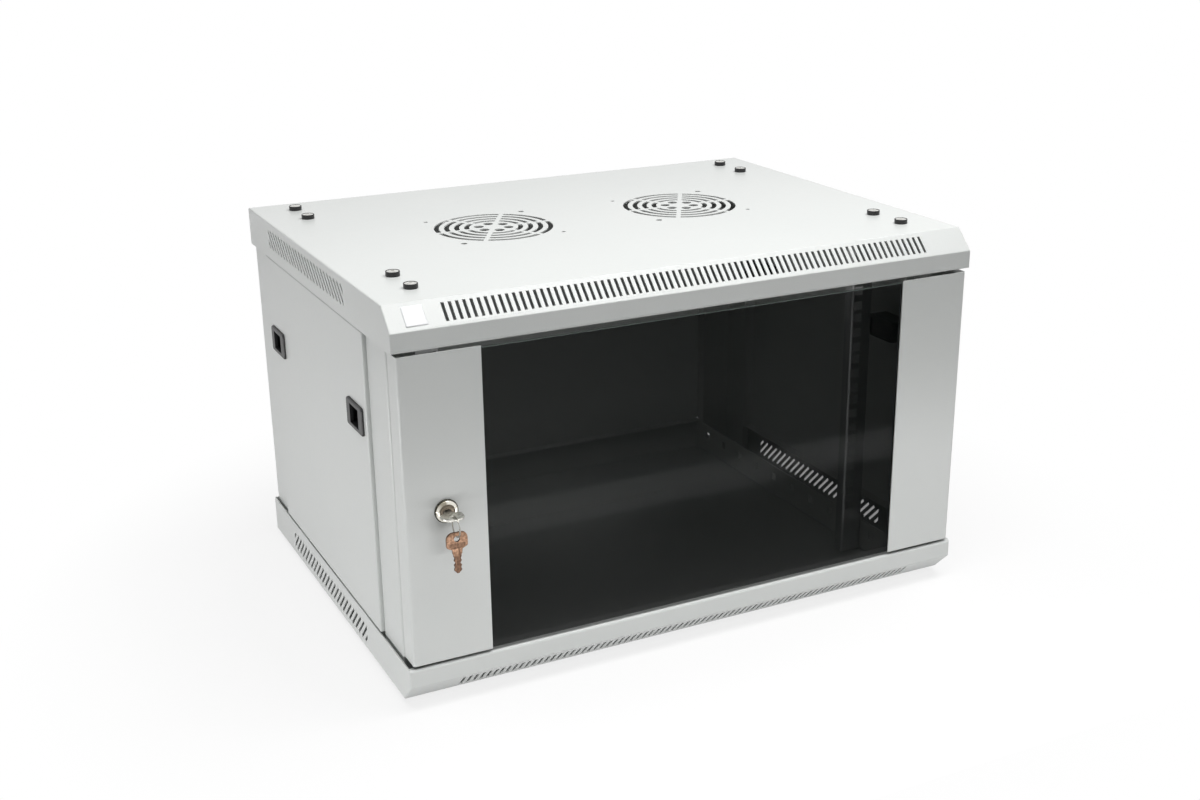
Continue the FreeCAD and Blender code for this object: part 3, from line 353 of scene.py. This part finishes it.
def blackened_bezel():
    """Dark oxidised ring, rubbed lighter in patches."""
    ring = Finish("blackened_bezel")
    wear = ring.noise(700, 3)
    tone = ring.blend(paint(44, 43, 38), paint(96, 94, 84), ring.steps(wear, 0.42, 0.7))
    return ring.surface(Base_Color=tone, Metallic=1.0, Roughness=0.34 + wear * 0.2,
                        Normal=ring.relief(wear, 0.02 * MM))


def bare_label():
    """White coated paper with nothing printed on it."""
    paper = Finish("bare_white_label")
    fibre = paper.noise(3200, 4)
    cloud = paper.noise(120, 3)
    tone = paper.blend(paint(228, 229, 231), paint(236, 237, 238), cloud)
    return paper.surface(Base_Color=tone, Roughness=0.34 + fibre * 0.12,
                         Normal=paper.relief(fibre, 0.012 * MM))


# ---- mesh kit ----
def finished(name, mesh_work, body, finish, smooth_below=32):
    """Object from a bmesh, with its finish, riding on a body."""
    mesh = bpy.data.meshes.new(name)
    bmesh.ops.recalc_face_normals(mesh_work, faces=mesh_work.faces)
    mesh_work.to_mesh(mesh)
    mesh_work.free()
    mesh.materials.append(finish)
    mesh.shade_smooth()
    mesh.set_sharp_from_angle(angle=math.radians(smooth_below))
    piece = bpy.data.objects.new(name, mesh)
    bpy.context.scene.collection.objects.link(piece)
    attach(piece, body)
    return piece


def middle_of(box):
    low, high = box
    return (Vector(low) + Vector(high)) / 2


def in_order(work):
    """The same mesh with its points and faces in an order that every run gives alike."""
    points = sorted(work.verts, key=lambda vertex: tuple(vertex.co))
    rank = {point: i for i, point in enumerate(points)}
    outlines = []
    for face in work.faces:
        corners = [rank[point] for point in face.verts]
        first = corners.index(min(corners))
        outlines.append(corners[first:] + corners[:first])
    again = bmesh.new()
    made = [again.verts.new(point.co) for point in points]
    for corners in sorted(outlines):
        again.faces.new([made[i] for i in corners])
    work.free()
    return again


def facing(axis, way):
    """Turn that takes a piece drawn along +Z to the given axis."""
    return (AXES[axis] * way).to_track_quat("Z", "Y").to_matrix().to_4x4()


def lathed(profile, seat, axis, way, sides):
    """Turned part: (radius, height) pairs spun round its axis, then set on its seat."""
    work = bmesh.new()
    points = [work.verts.new((radius, 0, height)) for radius, height in profile]
    edges = [work.edges.new(pair) for pair in zip(points, points[1:])]
    bmesh.ops.spin(work, geom=points + edges, axis=(0, 0, 1), cent=(0, 0, 0), steps=sides,
                   angle=2 * math.pi, use_duplicate=False)
    bmesh.ops.remove_doubles(work, verts=work.verts, dist=1e-7)
    placed = Matrix.Translation(seat) @ facing(axis, way)
    bmesh.ops.transform(work, matrix=placed, verts=work.verts)
    return in_order(work)


def softened(radius, edge, top):
    """Quarter-round points from the side of a turned part on to its top."""
    points = []
    turns = 4
    for i in range(turns + 1):
        turn = math.pi / 2 * i / turns
        points.append((radius - edge + edge * math.cos(turn), top - edge + edge * math.sin(turn)))
    return points


def joined(works):
    """One bmesh from several."""
    whole = bmesh.new()
    for work in works:
        mesh = bpy.data.meshes.new("part")
        work.to_mesh(mesh)
        work.free()
        whole.from_mesh(mesh)
        bpy.data.meshes.remove(mesh)
    return whole


def solid_boxes(node):
    """Box of each separate solid in a node that groups several."""
    work = bmesh.new()
    work.from_mesh(frame["nodes"][node].data)
    bmesh.ops.remove_doubles(work, verts=work.verts, dist=1e-6)
    left = set(work.verts)
    boxes = []
    while left:
        front = [left.pop()]
        points = []
        while front:
            vertex = front.pop()
            points.append(vertex.co.copy())
            for edge in vertex.link_edges:
                other = edge.other_vert(vertex)
                if other in left:
                    left.remove(other)
                    front.append(other)
        low = Vector([min(p[i] for p in points) for i in range(3)])
        high = Vector([max(p[i] for p in points) for i in range(3)])
        boxes.append((low, high))
    work.free()
    return sorted(boxes, key=lambda box: tuple(box[0]))


def arced(corners, steps=5):
    """Points of an outline whose corners are (a, b) or, rounded, (a, b, radius)."""
    points = []
    for i, corner in enumerate(corners):
        here = Vector(corner[:2])
        if len(corner) < 3:
            points.append(here)
            continue
        back = (Vector(corners[i - 1][:2]) - here).normalized()
        ahead = (Vector(corners[(i + 1) % len(corners)][:2]) - here).normalized()
        half = back.angle(ahead) / 2
        centre = here + (back + ahead).normalized() * (corner[2] / math.sin(half))
        start = here + back * (corner[2] / math.tan(half)) - centre
        sweep = math.copysign(math.pi - 2 * half, ahead.cross(back))
        for j in range(steps + 1):
            points.append(centre + Matrix.Rotation(sweep * j / steps, 2) @ start)
    return points


def rectangle(half_a, half_b, radius):
    """Corners, all rounded alike, of a rectangle round the origin."""
    return [(-half_a, -half_b, radius), (half_a, -half_b, radius),
            (half_a, half_b, radius), (-half_a, half_b, radius)]


def slab(outline, low, high, edge=0.0):
    """Flat part from low to high over an outline, with softened rims."""
    work = bmesh.new()
    face = work.faces.new([work.verts.new((a, b, low)) for a, b in outline])
    grown = bmesh.ops.extrude_face_region(work, geom=[face])
    lifted = [item for item in grown["geom"] if isinstance(item, bmesh.types.BMVert)]
    bmesh.ops.translate(work, verts=lifted, vec=(0, 0, high - low))
    if edge:
        rims = [e for e in work.edges if abs(e.verts[0].co.z - e.verts[1].co.z) < 1e-9]
        bmesh.ops.bevel(work, geom=rims, offset=edge, segments=2, profile=0.6, affect="EDGES")
    return in_order(work)


def as_object(work):
    """Plain object from a bmesh, for cutting."""
    mesh = bpy.data.meshes.new("blank")
    work.to_mesh(mesh)
    work.free()
    blank = bpy.data.objects.new("blank", mesh)
    bpy.context.scene.collection.objects.link(blank)
    return blank


def carved(work, cutters):
    """Cuts each cutter out of a closed part."""
    bmesh.ops.recalc_face_normals(work, faces=work.faces)
    blank = as_object(work)
    tools = []
    for cutter in cutters:
        bmesh.ops.recalc_face_normals(cutter, faces=cutter.faces)
        tools.append(as_object(cutter))
        cut = blank.modifiers.new("cut", "BOOLEAN")
        cut.operation = "DIFFERENCE"
        cut.object = tools[-1]
    shaped = blank.evaluated_get(bpy.context.evaluated_depsgraph_get()).to_mesh()
    result = bmesh.new()
    result.from_mesh(shaped)
    for item in tools + [blank]:
        bpy.data.objects.remove(item)
    return result


# ---- camera and light ----
def set_camera():
    """Camera in front, to the left and above, as a buyer first sees the cabinet."""
    place = (-0.67546, -1.60564, 0.52825)
    heading, downward, lean = -27.04, 20.24, -0.39      # degrees
    data = bpy.data.cameras.new("camera")
    data.sensor_width = 36
    data.lens = 45.94
    data.shift_x = -0.0193
    data.shift_y = 0.0202
    camera = bpy.data.objects.new("camera", data)
    bpy.context.scene.collection.objects.link(camera)
    turn = Matrix.Rotation(math.radians(heading), 4, "Z")
    tilt = Matrix.Rotation(math.radians(90 - downward), 4, "X")
    roll = Matrix.Rotation(math.radians(lean), 4, "Z")
    camera.matrix_world = Matrix.Translation(place) @ turn @ tilt @ roll
    bpy.context.scene.camera = camera


def area_lamp(name, place, aim, width, height, watts):
    """Flat lamp that faces its aim and that the camera doesn't see."""
    data = bpy.data.lights.new(name, "AREA")
    data.shape = "RECTANGLE"
    data.size = width
    data.size_y = height
    data.energy = watts
    lamp = bpy.data.objects.new(name, data)
    bpy.context.scene.collection.objects.link(lamp)
    lamp.visible_camera = False
    lamp.location = place
    lamp.rotation_euler = (Vector(aim) - Vector(place)).to_track_quat("-Z", "Y").to_euler()


def set_light():
    """Soft boxes overhead, low cards before the front, the left side and the back, and a room."""
    for lamp in LAMPS:
        area_lamp(*lamp)
    room = bpy.data.worlds.new("room")
    bpy.context.scene.world = room
    air = Finish("room", room)
    strength = ROOM_LIGHT + air.shown() * (1 - ROOM_LIGHT)
    sky = air.node("ShaderNodeBackground", {}, {"Color": (1, 1, 1, 1), "Strength": strength})
    air.node("ShaderNodeOutputWorld", {}, {"Surface": sky})


def studio_paper():
    """White paper that keeps the cabinet's shadow and runs out into the white room.

    It throws less light back on the cabinet than a sheet of real paper would.
    """
    paper = Finish("studio_paper")
    x = paper.along("X")
    y = paper.along("Y") - (SOLID_BOX[0][1] + SOLID_BOX[1][1]) / 2
    distance = (x * x + y * y).math("SQRT")
    far = paper.steps(distance, *PAPER_FADE)
    white = paper.blend(paint(244, 244, 244), paint(248, 248, 248), paper.noise(3, 2))
    bounce = paint(FLOOR_BOUNCE, FLOOR_BOUNCE, FLOOR_BOUNCE)
    tone = paper.blend(bounce, white, paper.shown())
    lit = paper.principled(Base_Color=tone, Roughness=0.9, Specular_IOR_Level=0.1)
    glow = paper.node("ShaderNodeEmission", {}, {"Color": (1, 1, 1, 1), "Strength": 1.0})
    near_glow, far_glow = PAPER_GLOW
    share = paper.shown() * (far * (far_glow - near_glow) + near_glow)
    mixed = paper.node("ShaderNodeMixShader", {}, {0: share, 1: lit, 2: glow})
    paper.node("ShaderNodeOutputMaterial", {}, {"Surface": mixed})
    return paper.owner


def lay_floor():
    """Wide white floor under the cabinet."""
    work = bmesh.new()
    bmesh.ops.create_grid(work, x_segments=4, y_segments=4, size=FLOOR_HALF)
    bmesh.ops.translate(work, verts=work.verts, vec=(0, 0, SOLID_BOX[0][2]))
    mesh = bpy.data.meshes.new("studio_floor")
    work.to_mesh(mesh)
    work.free()
    mesh.materials.append(studio_paper())
    floor = bpy.data.objects.new("studio_floor", mesh)
    bpy.context.scene.collection.objects.link(floor)


# ---- pieces ----
def dress_frame(finishes):
    """Gives every node of the frame its finish, by its material slot."""
    for part in frame["record"]["subparts"]:
        mesh = frame["nodes"][part["node"]].data
        mesh.materials.clear()
        mesh.materials.append(finishes[part["material_slot"]])


def cup_washer(low, high, way):
    """Moulded cup with a raised rim round the screw's head."""
    radius = (high.x - low.x) / 2
    tall = high.z - low.z
    seat = Vector(((low.x + high.x) / 2, (low.y + high.y) / 2, low.z if way > 0 else high.z))
    bore = 3.1 * MM
    wall = 0.8 * MM
    floor = 1.8 * MM
    profile = [(bore, 0.0), (radius - 0.25 * MM, 0.0), (radius, 0.3 * MM)]
    profile += softened(radius, 0.35 * MM, tall)
    profile += [(radius - wall, tall - 0.3 * MM), (radius - wall, floor), (bore, floor)]
    return lathed(profile + profile[:1], seat, "Z", way, 48)


def cross_recess(seat, way):
    """Two tapered blades of a cross recess."""
    reach = 2.6 * MM
    arm = 0.95 * MM
    depth = 1.5 * MM
    taper = (0.35, 0.7, 1)
    blades = []
    for turn in (20, 110):
        blade = bmesh.new()
        bmesh.ops.create_cube(blade, size=1)
        bmesh.ops.scale(blade, verts=blade.verts, vec=(2 * reach, arm, 2 * depth))
        tip = [v for v in blade.verts if v.co.z * way < 0]
        bmesh.ops.scale(blade, verts=tip, vec=taper)
        spin = Matrix.Rotation(math.radians(turn), 4, "Z")
        bmesh.ops.transform(blade, matrix=Matrix.Translation(seat) @ spin, verts=blade.verts)
        blades.append(blade)
    return blades


def pan_screw(low, high, way):
    """Screw with a low dome and a cross recess; its heights count from the crown."""
    radius = (high.x - low.x) / 2
    seat = Vector(((low.x + high.x) / 2, (low.y + high.y) / 2, high.z if way > 0 else low.z))
    shank = 3.0 * MM
    end = -15.2 * MM
    under_head = -3.2 * MM
    edge = -0.7 * MM
    profile = [(0, end), (shank, end + 0.2 * MM), (shank, under_head), (radius, under_head),
               (radius, edge - 0.25 * MM), (radius - 0.1 * MM, edge)]
    bands = 6
    for i in range(bands + 1):
        share = 1 - i / bands
        profile.append(((radius - 0.5 * MM) * share, edge * share ** 2))
    return carved(lathed(profile, seat, "Z", way, 48), cross_recess(seat, way))


def cover_screws(side, way, finishes):
    """Nickel pan-head screws in black cup washers, on one cover."""
    cups = [cup_washer(low, high, way) for low, high in solid_boxes(side + "_cover_washers")]
    screws = [pan_screw(low, high, way) for low, high in solid_boxes(side + "_cover_screws")]
    washers = finished(side + "_cup_washers", joined(cups), "cabinet", finishes["cup_plastic"])
    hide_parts(side + "_cover_washers")
    heads = finished(side + "_pan_screws", joined(screws), "cabinet", finishes["screw_nickel"])
    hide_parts(side + "_cover_screws")


def bezel_ring(finish):
    """Ring under the lock's flange, with straight knurls round its rim."""
    low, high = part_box("lock_bezel")
    radius = (high.x - low.x) / 2
    tall = high.y - low.y
    bore = 9.1 * MM
    knurls = 64
    half_depth = 0.11 * MM
    seat = Vector(((low.x + high.x) / 2, high.y, (low.z + high.z) / 2))
    profile = [(bore, 0), (radius, 0), (radius, tall * 0.55)]
    profile += softened(radius, tall * 0.4, tall) + [(bore, tall)]
    work = lathed(profile + profile[:1], seat, "Y", -1, 4 * knurls)
    for vertex in work.verts:
        across = Vector((vertex.co.x - seat.x, 0, vertex.co.z - seat.z))
        if across.length > radius - 0.4 * MM:
            crest = math.cos(knurls * math.atan2(across.z, across.x))
            vertex.co -= across.normalized() * (half_depth * (1 - crest))
    ring = finished("lock_bezel_ring", work, "door", finish, 50)
    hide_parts("lock_bezel")


def lock_barrel(finish):
    """Lock body: bevelled face with a sunk mouth, and a threaded barrel behind the door."""
    low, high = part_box("lock_body")
    flange = (high.x - low.x) / 2
    seat = Vector(((low.x + high.x) / 2, low.y, (low.z + high.z) / 2))
    length = high.y - low.y
    under = 2.2 * MM
    bore = 6.05 * MM
    crest = 9.0 * MM
    root = crest - 0.5 * MM
    pitch = 1.0 * MM
    profile = [(bore, -length), (bore, -MOUTH_DEPTH), (MOUTH_R - 0.1 * MM, -MOUTH_DEPTH),
               (MOUTH_R, -MOUTH_DEPTH + 0.1 * MM), (MOUTH_R, -0.15 * MM),
               (MOUTH_R + 0.15 * MM, 0), (flange - 1.9 * MM, -0.05 * MM),
               (flange - 1.3 * MM, -0.25 * MM), (flange - 0.2 * MM, -1.25 * MM),
               (flange, -1.45 * MM), (flange, -under)]
    turns = int((length - under - 2 * MM) / pitch)
    for i in range(turns):
        top = -under - 1.5 * MM - i * pitch
        profile += [(crest, top), (crest, top - 0.2 * pitch), (root, top - 0.55 * pitch)]
    profile += [(root, -length)]
    work = lathed(profile + profile[:1], seat, "Y", -1, 96)
    body = finished("lock_barrel", work, "door", finish, 24)
    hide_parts("lock_body")


def plug_and_mouth(finish):
    """Turning plug, sunk in the lock's mouth, with an arched keyway over the key's blade."""
    low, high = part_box("lock_plug")
    seat = Vector(((low.x + high.x) / 2, low.y, (low.z + high.z) / 2))
    length = high.y - low.y
    radius = (high.x - low.x) / 2
    tail = 2.6 * MM
    sink = MOUTH_DEPTH - 0.4 * MM
    bevel = 0.25 * MM
    profile = [(0, -sink), (radius - bevel, -sink), (radius, -sink - bevel),
               (radius, -length + tail), (0, -length + tail)]
    turned = lathed(profile, seat, "Y", -1, 96)
    half = 3.9 * MM
    foot = -1.25 * MM
    shoulder = 0.9 * MM
    arch = 2.2 * MM
    keyway = arced([(-half, foot), (half, foot), (half, shoulder, 0.5 * MM),
                    (half * 0.45, arch, 1.6 * MM), (-half * 0.45, arch, 1.6 * MM),
                    (-half, shoulder, 0.5 * MM)])
    slot_end = -26 * MM
    slot = slab(keyway, slot_end, 1 * MM)
    square = slab(arced(rectangle(3 * MM, 3 * MM, 0.6 * MM)),
                  -length, -length + tail + 0.2 * MM)
    to_front = Matrix.Translation(seat) @ Matrix.Rotation(math.radians(90), 4, "X")
    for work in (slot, square):
        bmesh.ops.transform(work, matrix=to_front, verts=work.verts)
    whole = joined([carved(turned, [slot]), square])
    plug = finished("lock_plug_face", whole, "lock_plug", finish, 30)
    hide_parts("lock_plug")


def key_outline(shoulder):
    """Outline of a key with cuts on both edges of its blade.

    The shoulder is the length of a wider neck between the bow and the blade, or 0.
    """
    half_bow = 9.8 * MM
    half = 3.6 * MM
    blade_start = KEY_NECK + shoulder * 1.25
    blade_end = KEY_NECK + KEY_BLADE
    side = [(half_bow, -KEY_REACH, 6 * MM), (half_bow, KEY_NECK - 2.5 * MM, 2.2 * MM)]
    if shoulder:
        side += [(4.7 * MM, KEY_NECK, 0.8 * MM), (4.4 * MM, KEY_NECK + shoulder, 0.5 * MM)]
    side.append((half, blade_start, 0.4 * MM))
    cuts = 3 if shoulder else 5
    shallow, deep = 0.6 * 1.5 * MM, 1.5 * MM
    pitch = (KEY_BLADE - shoulder * 1.25 - 5 * MM) / cuts
    for i in range(cuts):
        start = blade_start + 1.6 * MM + i * pitch
        depth = deep if i % 2 else shallow
        side += [(half, start, 0.3 * MM), (half - depth, start + pitch / 2, 0.35 * MM)]
    side += [(half, blade_end - 3 * MM, 0.5 * MM), (half * 0.3, blade_end, 0.5 * MM)]
    return arced(side + [(-corner[0],) + corner[1:] for corner in reversed(side)])


def key_plate(shoulder):
    """Struck key lying flat, its ring hole at the origin and its blade towards +Y."""
    plate = slab(key_outline(shoulder), -KEY_HALF_THICK, KEY_HALF_THICK, 0.22 * MM)
    beyond = 3 * MM
    hole_r = 2.8 * MM
    turns = [t * math.pi / 20 for t in range(40)]
    hole = [(hole_r * math.cos(turn), hole_r * math.sin(turn)) for turn in turns]
    cutters = [slab(hole, -beyond, beyond)]
    panel = arced([(-7.6 * MM, 3.7 * MM, 1.2 * MM), (7.6 * MM, 3.7 * MM, 1.2 * MM),
                   (7.6 * MM, 6.9 * MM, 1.2 * MM), (4.4 * MM, 8.8 * MM, 1.2 * MM),
                   (-4.4 * MM, 8.8 * MM, 1.2 * MM), (-7.6 * MM, 6.9 * MM, 1.2 * MM)])
    panel_floor = KEY_HALF_THICK - 0.3 * MM
    groove_floor = KEY_HALF_THICK - 0.5 * MM
    start = KEY_NECK - 1 * MM
    end = KEY_NECK + KEY_BLADE + MM
    for way in (-1, 1):
        cutters.append(slab(panel, *sorted((way * panel_floor, way * beyond))))
        left = (-1.5 * way - 0.8) * MM
        right = left + 1.6 * MM
        groove = [(left, start), (right, start), (right, end), (left, end)]
        cutters.append(slab(groove, *sorted((way * groove_floor, way * beyond))))
    return carved(plate, cutters)


def struck_keys(finishes):
    """Key standing in the lock, and its spare hanging from the wire ring."""
    low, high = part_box("lock_key")
    middle = middle_of((low, high))
    flat = Matrix.Translation((middle.x, low.y + KEY_REACH, middle.z))
    low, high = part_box("spare_key")
    middle = middle_of((low, high))
    hanging = Matrix.Translation((middle.x, middle.y, high.z - KEY_REACH))
    hanging = hanging @ Matrix.Rotation(math.radians(-90), 4, "X")
    for node, name, body, slot, place, shoulder in (
            ("lock_key", "key_in_lock", "lock_plug", "key_steel", flat, 0),
            ("spare_key", "hanging_key", "spare_key", "key_brass", hanging, KEY_SHOULDER)):
        work = key_plate(shoulder)
        bmesh.ops.transform(work, matrix=place, verts=work.verts)
        key = finished(name, work, body, finishes[slot], 30)
        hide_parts(node)


def split_ring(finish):
    """Wire ring of two flat turns that cross over once."""
    low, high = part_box("key_ring")
    middle = middle_of((low, high))
    outer = (high.z - low.z) / 2
    half_gap = 0.015 * MM
    half_x = (high.x - low.x) / 4 - 0.02 * MM
    half_r = 0.46 * MM
    radius = outer - half_r - 0.06 * MM
    section = arced(rectangle(half_x, half_r, 0.12 * MM), 2)
    opening = 150               # degrees from the wall side, over the top, to the opening
    first = 20                  # degrees from the opening to each end of the wire
    cross_half = 14             # half the degrees over which the wire changes sides
    work = bmesh.new()
    steps = 180
    loops = []
    for i in range(steps + 1):
        turn = first + (720 - 2 * first) * i / steps
        shift = min(max((turn - 360 + cross_half) / (2 * cross_half), 0), 1)
        x = (2 * shift * shift * (3 - 2 * shift) - 1) * (half_x + half_gap)
        angle = math.radians(turn + opening)
        out = Vector((0, math.cos(angle), math.sin(angle)))
        loops.append([work.verts.new(middle + Vector((x + a, 0, 0)) + out * (radius + b))
                      for a, b in section])
    for here, ahead in zip(loops, loops[1:]):
        for j in range(len(section)):
            k = (j + 1) % len(section)
            work.faces.new((here[j], here[k], ahead[k], ahead[j]))
    work.faces.new(loops[0])
    work.faces.new(loops[-1])
    ring = finished("split_ring", work, "key_ring", finish, 40)
    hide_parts("key_ring")


def sticker(finish):
    """Bare white label on the left end of the top cover's front chamfer, its foot lifting off."""
    low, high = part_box("top_cover")
    chamfer = 20 * MM
    width = 19.5 * MM
    tall = 20 * MM
    from_side = 16 * MM
    from_fold = 4.2 * MM
    lift = 0.1 * MM
    foot_lift = 0.25 * MM
    slope = Vector((0, math.sqrt(0.5), math.sqrt(0.5)))
    outward = Vector((0, -math.sqrt(0.5), math.sqrt(0.5)))
    corner = Vector((low.x + from_side, low.y, high.z - chamfer))
    base = corner + slope * from_fold + outward * lift
    work = bmesh.new()
    cells = 12
    rows = []
    for j in range(cells + 1):
        row = []
        for i in range(cells + 1):
            u = i / cells
            v = j / cells
            curl = foot_lift * max(0, 1 - v * 5) ** 2 * (0.6 + 0.4 * math.sin(3 * u + 0.6))
            at = base + Vector((width * u, 0, 0)) + slope * (tall * v) + outward * curl
            row.append(work.verts.new(at))
        rows.append(row)
    for lower, upper in zip(rows, rows[1:]):
        for i in range(cells):
            work.faces.new((lower[i], lower[i + 1], upper[i + 1], upper[i]))
    label = finished("bare_label", work, "cabinet", finish)
    thick = label.modifiers.new("paper", "SOLIDIFY")
    thick.thickness = 0.12 * MM
    thick.offset = -1


def main():
    finishes = {
        "cabinet_paint": powder_coat(),
        "zinc_steel": zinc_plate(),
        "tinted_glass": tinted_glass(),
        "foam_tape": foam_tape(),
        "latch_plastic": moulded_black("satin_black_nylon", 0.38),
        "cup_plastic": moulded_black("glossy_black_nylon", 0.22),
        "rubber": rubber(),
        "screw_nickel": nickel("screw_nickel", paint(226, 226, 222), paint(196, 195, 190), 0.16),
        "lock_nickel": turned_nickel(),
        "key_steel": struck_key("nickel_key", paint(204, 203, 197), paint(156, 155, 147),
                                paint(100, 98, 88)),
        # The spare key's third colour serves both as its dirt and as the painted shade of its
        # hollows and blade.
        "key_brass": struck_key("copper_toned_key", paint(150, 120, 99), paint(96, 73, 59),
                                paint(52, 37, 30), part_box("spare_key")),
        "dark_bezel": blackened_bezel(),
    }
    dress_frame(finishes)
    for side, way in (("top", 1), ("base", -1)):
        cover_screws(side, way, finishes)
    bezel_ring(finishes["dark_bezel"])
    lock_barrel(finishes["lock_nickel"])
    plug_and_mouth(dull_plug())
    struck_keys(finishes)
    split_ring(nickel("ring_wire", paint(168, 166, 158), paint(112, 110, 102), 0.2))
    sticker(bare_label())
    set_camera()
    set_light()
    lay_floor()
    bpy.context.scene.view_settings.view_transform = "Standard"


main()
